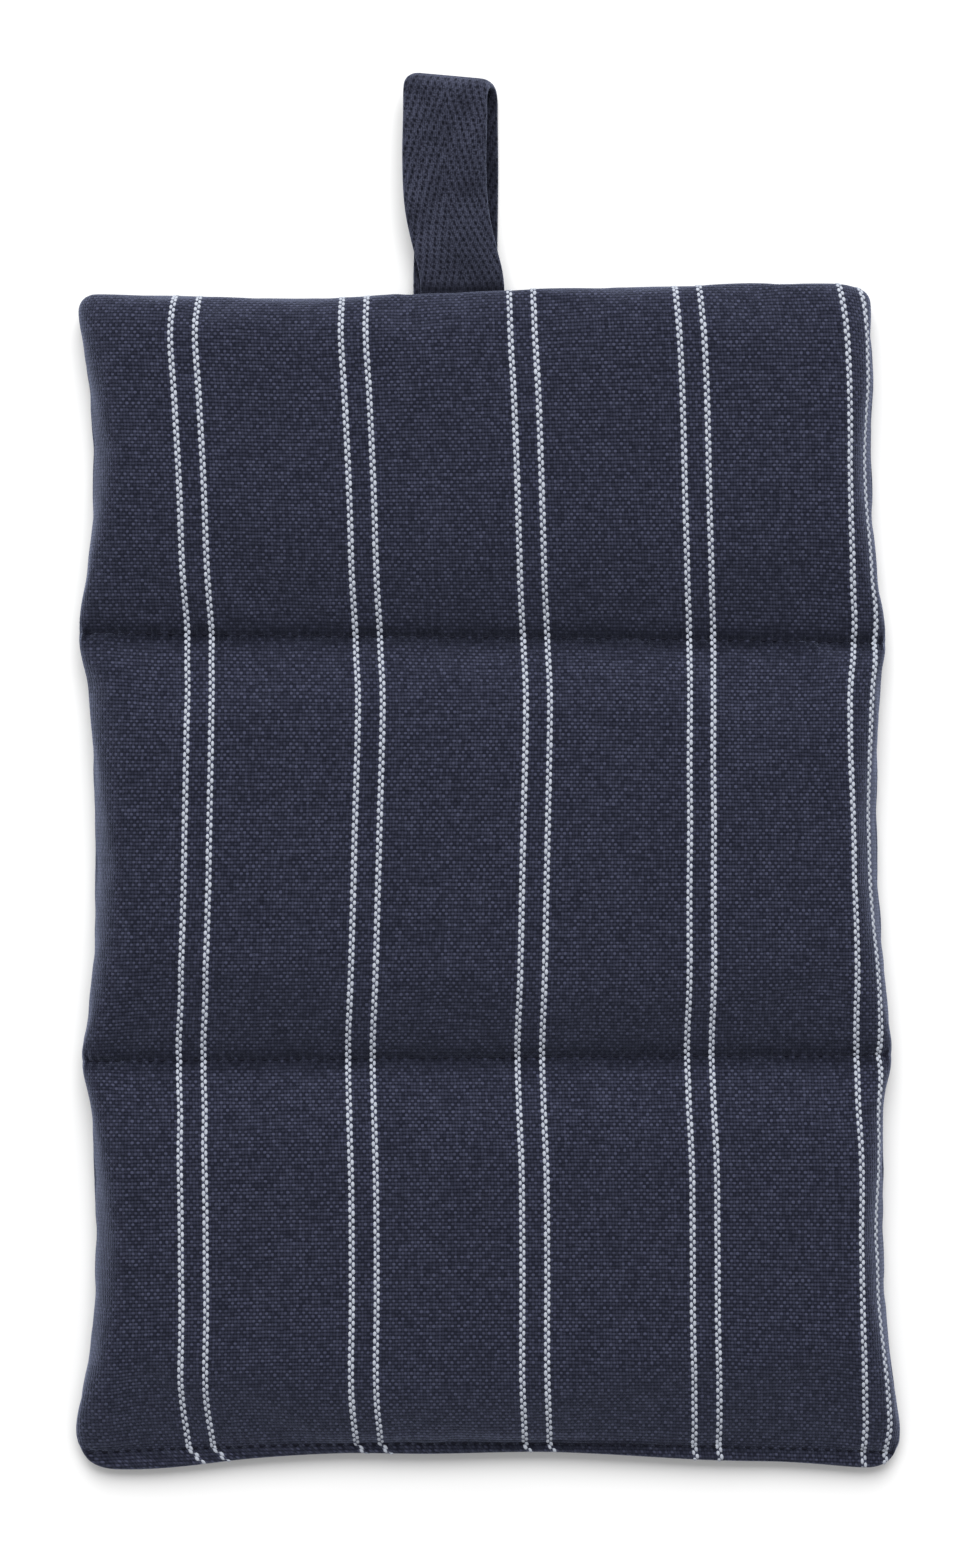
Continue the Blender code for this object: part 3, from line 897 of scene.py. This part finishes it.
# %% Weave
canvas = Finish("navy_canvas", Roughness=0.95, Specular_IOR_Level=0.05,
                Sheen_Weight=0.38, Sheen_Roughness=0.47, Sheen_Tint=(0.62, 0.7, 1.0, 1.0))
u, v = canvas.thread_places("cloth")
sway = canvas.noise(canvas.at(u, v), 0.5)
beat = canvas.noise(canvas.at(u * 0.25 + 70.0, v), 0.9)
across = (u + YARN_SWAY * (sway - 0.5)) / END_PITCH
ahead = (v + YARN_SWAY * (beat - 0.5)) / PICK_PITCH
end, pick = maths("FLOOR", across), maths("FLOOR", ahead)
from_end = across - end - 0.5
from_pick = ahead - pick - 0.5
weft_up = 1.0 - 2.0 * ((end + pick) % 2.0)
weft_back = WEFT_HEIGHT * root(1.0 - from_pick * from_pick / WEFT_WIDTH ** 2)
warp_back = WARP_HEIGHT * root(1.0 - from_end * from_end / WARP_WIDTH ** 2)
weft = CRIMP * weft_up * cosine(math.pi * from_end) + weft_back
warp = warp_back - CRIMP * weft_up * cosine(math.pi * from_pick)
height = maths("MAXIMUM", maths("MAXIMUM", weft, warp), 0.0)
weft_on_top = weft > warp
from_pair = maths("PINGPONG", end + 0.5, ENDS_A_PAIR / 2)
in_stripe = maths("COMPARE", from_pair, WHITE_ENDS_AT, 0.6) * (1.0 - weft_on_top)
print("weave:", len(canvas.tree.nodes), "nodes")

# %% Uneven yarn
weft_slub = canvas.noise(canvas.at(u * 0.22, pick * 3.7), 1.0)
warp_slub = canvas.noise(canvas.at(end * 3.1 + 40.0, v * 0.13), 1.0)
dash = canvas.node("TexWhiteNoise", Vector=canvas.at(end, pick))
patches = canvas.noise(canvas.at(u, v), 0.045)
slub = (weft_on_top * varied(weft_slub, *YARN_SHADES)
        + (1.0 - weft_on_top) * (WARP_SHARE * varied(warp_slub, *YARN_SHADES)))
# height squared paints shade into the hollows between threads; slub, dash and patches are the yarn's own tone
light = height * height * slub * varied(dash, *DASH_SHADES) * varied(patches, *PATCH_SHADES)
print("with uneven yarn:", len(canvas.tree.nodes), "nodes")

# %% Where the rows of stitches run, and what they do to the cloth
STITCH_MARGIN = 2.2          # the rows of stitches stop this far from the side seams
ROW_LENGTH = CLOTH_WIDTH - 2 * STITCH_MARGIN
FIRST_STITCH = CLOTH_LEFT + STITCH_MARGIN
STITCHES = round(ROW_LENGTH / 2.7)           # whole stitches, each close to 2.7 mm
STITCH_PITCH = ROW_LENGTH / STITCHES
HEM_MIDDLE, HEM_MIDDLE_REACH = 6.0, 38.0     # the panel bulges over this part of the hem's row
OVERHANG_LIGHT = 1.0         # where it hangs over it, a painted highlight lightens it by this share
OVERHANG_LIGHT_UP = 2.0      # this far above the row
OVERHANG_LIGHT_REACH = 1.4
KNOB_REACH = 0.6             # on the row itself a painted highlight lightens the cloth between two stitches
SHADE_VARIES = (0.25, 1.65)  # the painted shade along a row comes and goes between these shares
PUCKER_REACH = 2.6
PUCKER_VARIES = (0.3, 1.7)
PUCKER_HEIGHT = 1.2          # in the unit of the crimp

SewnRow = namedtuple("SewnRow", "j shade reach knobs")
middle_of_hem = hill(u - HEM_MIDDLE, HEM_MIDDLE_REACH)
SEWN_ROWS = [                # painted shade darkens the cloth by a share, within a reach in mm
    SewnRow(FIRST_ROW, 0.8, 3.2, 0.7),
    SewnRow(SECOND_ROW, 0.68, 3.2, 0.7),
    # the hem's painted shadow is deepest in its middle, under the overhanging panel
    SewnRow(HEM_ROW, 0.3 + 0.65 * middle_of_hem, 1.7, 0.25),
]
print(STITCHES, "stitches a row, one every", round(STITCH_PITCH, 2), "mm")

# %% Painted shade and highlights along the rows in the finish
# painted highlight on the ridge where the last panel hangs over the hem's row
over_the_hem = hill(v - (float(along[HEM_ROW]) - OVERHANG_LIGHT_UP), OVERHANG_LIGHT_REACH)
painted_row_shading = 1.0 + OVERHANG_LIGHT * over_the_hem * hill(u - OVERHANG_X, OVERHANG_REACH)
pucker = 0.0
gathered = cosine((u - FIRST_STITCH) * (2 * math.pi / STITCH_PITCH))
for row in SEWN_ROWS:
    away = v - float(along[row.j])
    wander = canvas.noise(canvas.at(u, away * 0.6 + 8.0 * row.j), 0.5)
    # painted shade along the row, then a painted highlight between its stitches
    painted_row_shading = painted_row_shading * (1.0 - row.shade * hill(away, row.reach) * varied(wander, *SHADE_VARIES))
    painted_row_shading = painted_row_shading * (1.0 + row.knobs * hill(away, KNOB_REACH) * gathered)
    pucker = pucker + hill(away, PUCKER_REACH) * gathered * varied(wander, *PUCKER_VARIES)
light = maths("MINIMUM", light * painted_row_shading, 1.0)
navy = canvas.mixed(light, NAVY_DARK, NAVY_LIGHT)
canvas.use(colour=canvas.mixed(in_stripe, navy, WHITE_YARN_LOW), height=height + PUCKER_HEIGHT * pucker,
           depth=WEAVE_DEPTH)
cover.data.materials.clear()
cover.data.materials.append(canvas.material)
print("whole canvas finish:", len(canvas.tree.nodes), "nodes")

# %% Yarn and thread finishes
THREAD_DARK = (0.003, 0.003, 0.007, 1.0)
THREAD_LIGHT = (0.010, 0.011, 0.020, 1.0)


def plied(name, scale, dark, light, **constants):
    """A yarn whose colour varies as its plies turn, read at Object coordinates in metres."""
    yarn = Finish(name, **constants)
    place = yarn.node("TexCoord", output=3)
    yarn.use(colour=yarn.mixed(yarn.noise(place, scale), dark, light))
    return yarn


white_yarn = plied("white_yarn", 900.0, WHITE_YARN_LOW, WHITE_YARN, Roughness=0.9, Specular_IOR_Level=0.2)
navy_thread = plied("navy_thread", 1400.0, THREAD_DARK, THREAD_LIGHT, Roughness=0.8, Specular_IOR_Level=0.1)
print("finishes:", canvas.material.name, white_yarn.material.name, navy_thread.material.name)

# %% [markdown]
# ## What is sewn and woven on the cloth
#
# The white ends of the pinstripes come up over every second pick, and the rows and the hem are lines of
# stitches. Both are many like things that follow the cloth, so Geometry Nodes make them. A tree counts out
# points in thread coordinates, finds each one's place and direction on the cover by its UV map, puts a small
# rounded shape there and ends in real mesh with its material.

# %% A small helper for node trees
class Tree:
    """A Geometry Nodes tree with named inputs."""

    KINDS = {int: "Int", float: "Float", bpy.types.Object: "Object", bpy.types.Material: "Material"}

    def __init__(self, name, **inputs):
        self.group = bpy.data.node_groups.new(name, "GeometryNodeTree")
        self.group.interface.new_socket(name="Geometry", in_out="OUTPUT", socket_type="NodeSocketGeometry")
        self.identifiers = {}
        for key, value in inputs.items():
            kind = next(kind for python_type, kind in self.KINDS.items() if isinstance(value, python_type))
            socket = self.group.interface.new_socket(name=key.replace("_", " "), in_out="INPUT",
                                                     socket_type="NodeSocket" + kind)
            self.identifiers[key] = socket.identifier
        self.values = inputs
        self.inputs = self.group.nodes.new("NodeGroupInput")
        self.outputs = self.group.nodes.new("NodeGroupOutput")

    def __getitem__(self, key):
        return self.inputs.outputs[key.replace("_", " ")]

    def node(self, kind, settings=None, **sockets):
        """A node: its type, its settings, and values or links of its sockets."""
        made = self.group.nodes.new(kind)
        for name, setting in (settings or {}).items():
            setattr(made, name, setting)
        for name, value in sockets.items():
            socket = socket_named(made, name)
            if isinstance(value, bpy.types.NodeSocket):
                self.group.links.new(socket, value)
            else:
                socket.default_value = value
        return made

    def maths(self, operation, a, b=0.0, c=0.0):
        return self.node("ShaderNodeMath", {"operation": operation}, i0=a, i1=b, i2=c).outputs[0]

    def vector_maths(self, operation, a, b):
        return self.node("ShaderNodeVectorMath", {"operation": operation}, i0=a, i1=b).outputs[0]

    def made(self, name):
        """The tree's result as an object with a plain mesh."""
        thing = bpy.data.objects.new(name, bpy.data.meshes.new(name))
        bpy.context.scene.collection.objects.link(thing)
        modifier = thing.modifiers.new(name, "NODES")
        modifier.node_group = self.group
        for key, value in self.values.items():
            modifier[self.identifiers[key]] = value
        return made_plain(thing)


# %% One rounded shape at each thread place
SHAPE_SEGMENTS, SHAPE_RINGS = 8, 4           # a shape has 32 faces
LOOK_AHEAD = 0.4             # a shape points to the place this far along its thread, mm


def sewn_shapes(tree, count, u_place, v_place, along_u, size, jitter):
    """Finish a tree: count rounded shapes at thread places, lying along the weft or the warp."""
    cloth = tree.node("GeometryNodeObjectInfo", Object=tree["Cloth"]).outputs["Geometry"]
    cloth_map = tree.node("GeometryNodeInputNamedAttribute", {"data_type": "FLOAT_VECTOR"}, Name="OFBake")
    where = tree.node("GeometryNodeInputPosition").outputs[0]
    facing = tree.node("GeometryNodeInputNormal").outputs[0]

    def sampled(value, du=0.0, dv=0.0):
        """A value of the cloth at the shape's thread place, or a little off it."""
        panel_at = tree.maths("MULTIPLY_ADD", tree["Panel"], 0.5, MAP_MARGIN / 2)
        right = tree.maths("MULTIPLY_ADD", tree.maths("ADD", u_place, du - CLOTH_LEFT),
                           MAP_SHARE / CLOTH_WIDTH / 2, panel_at)
        up = tree.maths("MULTIPLY_ADD", tree.maths("ADD", v_place, dv - CLOTH_LENGTH),
                        -MAP_SHARE / CLOTH_LENGTH, MAP_MARGIN)
        place = tree.node("ShaderNodeCombineXYZ", X=right, Y=up).outputs[0]
        return tree.node("GeometryNodeSampleUVSurface", {"data_type": "FLOAT_VECTOR"}, Mesh=cloth,
                         Value=value, UV_Map=cloth_map.outputs["Attribute"], Sample_UV=place)

    here = sampled(where)
    ahead = sampled(where, *((LOOK_AHEAD, 0.0) if along_u else (0.0, LOOK_AHEAD)))
    direction = tree.vector_maths("SUBTRACT", ahead.outputs[0], here.outputs[0])
    turn = tree.node("FunctionNodeAxesToRotation", {"primary_axis": "Z", "secondary_axis": "Y"},
                     Primary_Axis=sampled(facing).outputs[0], Secondary_Axis=direction).outputs[0]
    spots = tree.node("GeometryNodePoints", Count=count, Position=here.outputs[0]).outputs[0]
    shape = tree.node("GeometryNodeMeshUVSphere", Segments=SHAPE_SEGMENTS, Rings=SHAPE_RINGS,
                      Radius=0.5 * MM).outputs[0]
    uneven = tree.node("FunctionNodeRandomValue", {"data_type": "FLOAT_VECTOR"},
                       i0=(1 - jitter,) * 3, i1=(1 + jitter,) * 3, Seed=tree["Seed"]).outputs[0]
    scale = tree.vector_maths("MULTIPLY", size, uneven)
    copies = tree.node("GeometryNodeInstanceOnPoints", Points=spots, Instance=shape,
                       Selection=here.outputs["Is Valid"], Rotation=turn, Scale=scale).outputs[0]
    real = tree.node("GeometryNodeRealizeInstances", Geometry=copies).outputs[0]
    smooth = tree.node("GeometryNodeSetShadeSmooth", Geometry=real).outputs[0]
    coated = tree.node("GeometryNodeSetMaterial", Geometry=smooth, Material=tree["Material"]).outputs[0]
    tree.group.links.new(tree.outputs.inputs["Geometry"], coated)


# %% White pinstripes
PAIRS = 5
ENDS_A_STRIPE = 4.0          # white ends in a pair, two in each of its lines
WHITE_FLOAT = (0.86, 1.38, 0.46)             # width, length and height of a float, mm
FLOATS_VARY = 0.12


def pinstripes(name, panel, seed):
    """The floats of all white ends on one panel: each comes up over every second pick."""
    picks = int(CLOTH_LENGTH / PICK_PITCH)
    tree = Tree(name, Cloth=cover, Floats_an_end=picks // 2, Pair_pitch_in_ends=ENDS_A_PAIR,
                End_pitch=END_PITCH, Pick_pitch=PICK_PITCH, Panel=panel, Seed=seed,
                Material=white_yarn.material)
    index = tree.node("GeometryNodeInputIndex").outputs[0]
    per_end = tree["Floats_an_end"]
    line = tree.maths("FLOOR", tree.maths("DIVIDE", tree.maths("ADD", index, 0.5), per_end))
    item = tree.maths("SUBTRACT", index, tree.maths("MULTIPLY", line, per_end))
    pair = tree.maths("FLOOR", tree.maths("DIVIDE", tree.maths("ADD", line, 0.5), ENDS_A_STRIPE))
    within = tree.maths("SUBTRACT", line, tree.maths("MULTIPLY", pair, ENDS_A_STRIPE))
    skip = tree.maths("MULTIPLY", tree.maths("GREATER_THAN", within, 1.5), 2.0 * WHITE_ENDS_AT - 2.0)
    offset = tree.maths("ADD", tree.maths("SUBTRACT", within, WHITE_ENDS_AT + 1.0), skip)
    centre = tree.maths("MULTIPLY", tree.maths("SUBTRACT", pair, PAIRS // 2 * 1.0), tree["Pair_pitch_in_ends"])
    end_number = tree.maths("ADD", centre, offset)
    odd = tree.maths("FLOORED_MODULO", tree.maths("ADD", end_number, 1.0), 2.0)
    pick_number = tree.maths("ADD", tree.maths("MULTIPLY", item, 2.0), odd)
    u_place = tree.maths("MULTIPLY", tree.maths("ADD", end_number, 0.5), tree["End_pitch"])
    v_place = tree.maths("MULTIPLY", tree.maths("ADD", pick_number, 0.5), tree["Pick_pitch"])
    count = tree.maths("MULTIPLY", per_end, PAIRS * ENDS_A_STRIPE)
    sewn_shapes(tree, count, u_place, v_place, False, WHITE_FLOAT, FLOATS_VARY)
    return tree.made(name)


front_pinstripes = pinstripes("pinstripes_face", 0, 3)
back_pinstripes = pinstripes("pinstripes_back", 1, 4)
print("pinstripes:", len(front_pinstripes.data.polygons), "faces on the front panel")

# %% Rows of stitches
STITCH = (0.55, 1.5, 0.5)    # width, length and height, mm
STITCHES_VARY = 0.08


def stitches(name, v_row, panel, seed):
    """The stitches of one row on one panel."""
    tree = Tree(name, Cloth=cover, Stitches=STITCHES, Row_at=v_row, From=FIRST_STITCH, Length=ROW_LENGTH,
                Panel=panel, Seed=seed, Material=navy_thread.material)
    index = tree.node("GeometryNodeInputIndex").outputs[0]
    share_along = tree.maths("DIVIDE", tree.maths("ADD", index, 0.5), tree["Stitches"])
    u_place = tree.maths("ADD", tree["From"], tree.maths("MULTIPLY", share_along, tree["Length"]))
    sewn_shapes(tree, tree["Stitches"], u_place, tree["Row_at"], True, STITCH, STITCHES_VARY)
    return tree.made(name)


sewn_rows = []
for number, (name, j) in enumerate((("first_row", FIRST_ROW), ("second_row", SECOND_ROW), ("hem_row", HEM_ROW))):
    for panel, panel_name in enumerate(("face", "back")):
        sewn_rows.append(stitches(f"{name}_stitches_{panel_name}", float(along[j]), panel, 10 + number))
print("stitches made in a row:", len(sewn_rows[0].data.polygons) // (SHAPE_SEGMENTS * SHAPE_RINGS))

# %% [markdown]
# ## The tape loop
#
# One length of herringbone tape is folded over and both ends go into the top seam. It is cloth with a stiff
# hand: the lower run lies on the table and the upper one bridges to the seam. Stations say where its middle line
# runs, as in the part, whose own loop gives the lowest height. The strip gets its thickness from Solidify, and
# one subdivision rounds its selvedges. At the fold the selvedges are tighter than the middle and draw back.

# %% The tape's route
Tape = namedtuple("Tape", "reach height x skew")
TAPE_STEP = 0.9              # mm between points along the tape
FOLD_STEPS = 22
LOOP_REACH = 51.2            # the fold's far side, beyond the seam
LOOP_X = -6.25               # middle of the loop at the seam

loop_low, loop_high = (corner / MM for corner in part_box("hanging_loop"))
low = loop_low.z + TAPE_THICKNESS / 2
high = loop_high.z - TAPE_THICKNESS / 2
seam_edge = float(np.interp(LOOP_X, end_places, top_end))
LOWER_RUN = [
    Tape(-3.6, 4.25, -7.1, 0.0),
    Tape(0.6, 4.2, -7.1, 0.0),
    Tape(4.5, 3.2, -7.1, 0.0),
    Tape(9.5, 1.7, -7.0, 0.01),
    Tape(17.0, low, -6.9, 0.02),
    Tape(30.0, low, -6.8, 0.05),
    Tape(41.0, low, -6.9, 0.09),
]
UPPER_RUN = [
    Tape(41.0, 8.2, -9.5, 0.09),
    Tape(31.0, 8.3, -9.7, 0.05),
    Tape(22.0, 8.2, -9.4, 0.02),
    Tape(16.0, 7.8, -8.6, 0.01),
    Tape(10.0, 7.1, -7.2, 0.0),
    Tape(5.0, 6.2, -5.9, 0.0),
    Tape(0.6, 5.8, -5.35, 0.0),
    Tape(-3.6, 5.75, -5.35, 0.0),
]
fold_radius = (UPPER_RUN[0].height - low) / 2
fold_reach = LOOP_REACH - TAPE_THICKNESS / 2 - fold_radius
print("loop reaches", round(loop_high.y - seam_edge, 1), "mm beyond the seam")


def smooth_run(stations):
    """A run of the tape in short steps, on a Catmull-Rom curve through its stations."""
    run = []
    last = len(stations) - 1
    for i in range(last):
        a, b = stations[i], stations[i + 1]
        before, after = stations[max(i - 1, 0)], stations[min(i + 2, last)]
        steps = round(math.dist(a[:3], b[:3]) / TAPE_STEP)
        for step in range(steps):
            t = step / steps
            run.append(Tape(*((2 * q + (r - p) * t + (2 * p - 5 * q + 4 * r - s) * t ** 2
                               + (3 * q - p - 3 * r + s) * t ** 3) / 2
                              for p, q, r, s in zip(before, a, b, after))))
    return run + [stations[-1]]


def fold_run():
    """The half turn at the loop's far end."""
    first, last = LOWER_RUN[-1], UPPER_RUN[0]
    run = []
    for step in range(1, FOLD_STEPS):
        share = step / FOLD_STEPS
        angle = math.pi * (share - 0.5)
        run.append(Tape(fold_reach + fold_radius * math.cos(angle), low + fold_radius * (1.0 + math.sin(angle)),
                        first.x + (last.x - first.x) * float(ease(share)),
                        first.skew + (last.skew - first.skew) * share))
    return run


# %% Points across and along the tape
TAPE_COLUMNS = 20
SELVEDGE = 2.2               # width of a selvedge that draws back at the fold
SELVEDGE_PULL = 1.3          # by this much
PULL_FADE = 8.0              # the pull begins over this length of the tape
EDGE_CURL = 0.35             # the upper run's selvedges curl down
CURL_HEIGHT = 2.0            # from this height above the loop's middle
CURL_FADE = 16.0             # and less towards the seam

lower_run, upper_run = smooth_run(LOWER_RUN), smooth_run(UPPER_RUN)
run = lower_run + fold_run() + upper_run
tape_points, tape_places = [], []
tape_along = 0.0
for number, tape in enumerate(run):
    if number:
        before = run[number - 1]
        tape_along += math.hypot(tape.reach - before.reach, tape.height - before.height)
    round_the_fold = float(ease((tape.reach - LOWER_RUN[-1].reach) / PULL_FADE))
    upper = float(ease((tape.height - (low + high) / 2) / CURL_HEIGHT) * ease(tape.reach / CURL_FADE))
    for k in range(TAPE_COLUMNS + 1):
        aside = TAPE_WIDTH * (k / TAPE_COLUMNS - 0.5)
        edge = max(abs(aside) - (TAPE_WIDTH / 2 - SELVEDGE), 0.0) / SELVEDGE
        reach = tape.reach - tape.skew * aside - SELVEDGE_PULL * edge ** 2 * round_the_fold
        curl = EDGE_CURL * upper * (aside / (TAPE_WIDTH / 2)) ** 2
        tape_points.append((tape.x + aside, seam_edge + reach, tape.height - curl))
        tape_places.append((aside, tape_along))
wide = TAPE_COLUMNS + 1
fold_at = tape_places[len(lower_run) * wide][1]
print("tape:", TAPE_WIDTH, "by", round(tape_along, 1), "mm, its fold begins at", round(fold_at, 1))

# %% The tape's mesh
YARN_RELIEF = 0.1            # mm of the tape's thickness that only its yarns reach

tape_faces = [(n * wide + k, n * wide + k + 1, (n + 1) * wide + k + 1, (n + 1) * wide + k)
              for n in range(len(run) - 1) for k in range(TAPE_COLUMNS)]
tape_mesh = bpy.data.meshes.new("tape_loop")
tape_mesh.from_pydata([tuple(c * MM for c in point) for point in tape_points], [], tape_faces)
tape_mesh.shade_smooth()
tape_map = tape_mesh.uv_layers.new(name="tape")
tape_map.uv.foreach_set("vector", [c for face in tape_faces for n in face for c in tape_places[n]])
tape_loop = bpy.data.objects.new("tape_loop", tape_mesh)
bpy.context.scene.collection.objects.link(tape_loop)
wall = tape_loop.modifiers.new("thickness", "SOLIDIFY")
wall.thickness = (TAPE_THICKNESS - YARN_RELIEF) * MM
wall.offset = 0.0
wall.use_even_offset = True
rounding = tape_loop.modifiers.new("rounding", "SUBSURF")
rounding.levels = rounding.render_levels = 1
made_plain(tape_loop)
print("tape loop:", len(tape_loop.data.polygons), "faces")

# %% [markdown]
# ## Herringbone tape
#
# Herringbone is a twill whose direction turns back along the middle of the tape. The warp yarns run along it,
# and each pick dips under one in four of them and leaves a small pit, which painted shade darkens. From pick to
# pick the pit steps one yarn to the side, outwards on both halves, and the pits draw the slanted lines of the
# weave.

# %% Herringbone sizes and colours
YARN_PITCH = 0.4175
PICKS_APART = 1.31
PIT_REACH = (0.33, 0.48)     # how far a pit reaches across and along, mm
PIT_DEPTHS = (0.15, 1.25)    # pits are shallow in one place and deep in the next
CORD_SHARE = 0.3             # relief of the single warp yarns
TAPE_DEPTH = 0.2             # of the bump, mm
TAPE_LIGHT = (0.047, 0.051, 0.080, 1.0)
TAPE_DARK = (0.001, 0.001, 0.003, 1.0)
YARN_TONE, FUZZ_TONE, TONE_DROP = 1.6, 3.6, 1.8          # contrast of the yarns and of their fuzz
TAPE_PATCHES = (0.1, 1.8)    # and of larger patches
ENTRY_SHADE, ENTRY_REACH = 0.75, 1.6         # painted shadow darkens the tape where it goes into the seam
INSIDE_SHADE = 0.5           # and its lower run lies in the shadow of the upper one

# %% Herringbone finish
herringbone = Finish("herringbone_tape", Roughness=0.95, Specular_IOR_Level=0.05,
                     Sheen_Weight=0.3, Sheen_Roughness=0.5, Sheen_Tint=(0.62, 0.7, 1.0, 1.0))
s, t = herringbone.thread_places("tape")
pick = maths("FLOOR", t / PICKS_APART)
step_aside = maths("ABSOLUTE", s) - YARN_PITCH * pick
from_pit = maths("PINGPONG", step_aside, 2 * YARN_PITCH) / PIT_REACH[0]
from_row = (t - (pick + 0.5) * PICKS_APART) / PIT_REACH[1]
pit_depth = varied(herringbone.noise(herringbone.at(s, t), 0.6, 1.0), *PIT_DEPTHS)
pit = pit_depth * maths("EXPONENT", 0.0 - (from_pit * from_pit + from_row * from_row))
cord = 0.5 + 0.5 * cosine(s * (2 * math.pi / YARN_PITCH))
height = (1.0 - pit) * (1.0 - CORD_SHARE + CORD_SHARE * cord)
yarn = herringbone.noise(herringbone.at(maths("FLOOR", s / YARN_PITCH) * 2.3, t * 0.7), 1.0)
fuzz = herringbone.noise(herringbone.at(s, t), 2.6, 3.0)
patches = herringbone.noise(herringbone.at(s, t, 30.0), 0.11)
tone = YARN_TONE * yarn + FUZZ_TONE * fuzz - TONE_DROP
painted_seam_shadow = hill(t - (tape_along + UPPER_RUN[-1].reach), ENTRY_REACH)
# height squared paints shade into the pits and between the yarns; tone and patches are the yarn's own
light = height * height * tone * varied(patches, *TAPE_PATCHES) * (1.0 - ENTRY_SHADE * painted_seam_shadow)
light = light * (INSIDE_SHADE + (1.0 - INSIDE_SHADE) * (t > fold_at))
light = maths("MAXIMUM", maths("MINIMUM", light, 1.0), 0.0)
herringbone.use(colour=herringbone.mixed(light, TAPE_DARK, TAPE_LIGHT), height=height, depth=TAPE_DEPTH)
tape_loop.data.materials.append(herringbone.material)
print("herringbone:", len(herringbone.tree.nodes), "nodes")

# %% FINISH
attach(cover, "root")
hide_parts("quilted_pad")
for piece in (front_pinstripes, back_pinstripes, *sewn_rows):
    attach(piece, "root")
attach(tape_loop, "root")
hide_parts("hanging_loop")
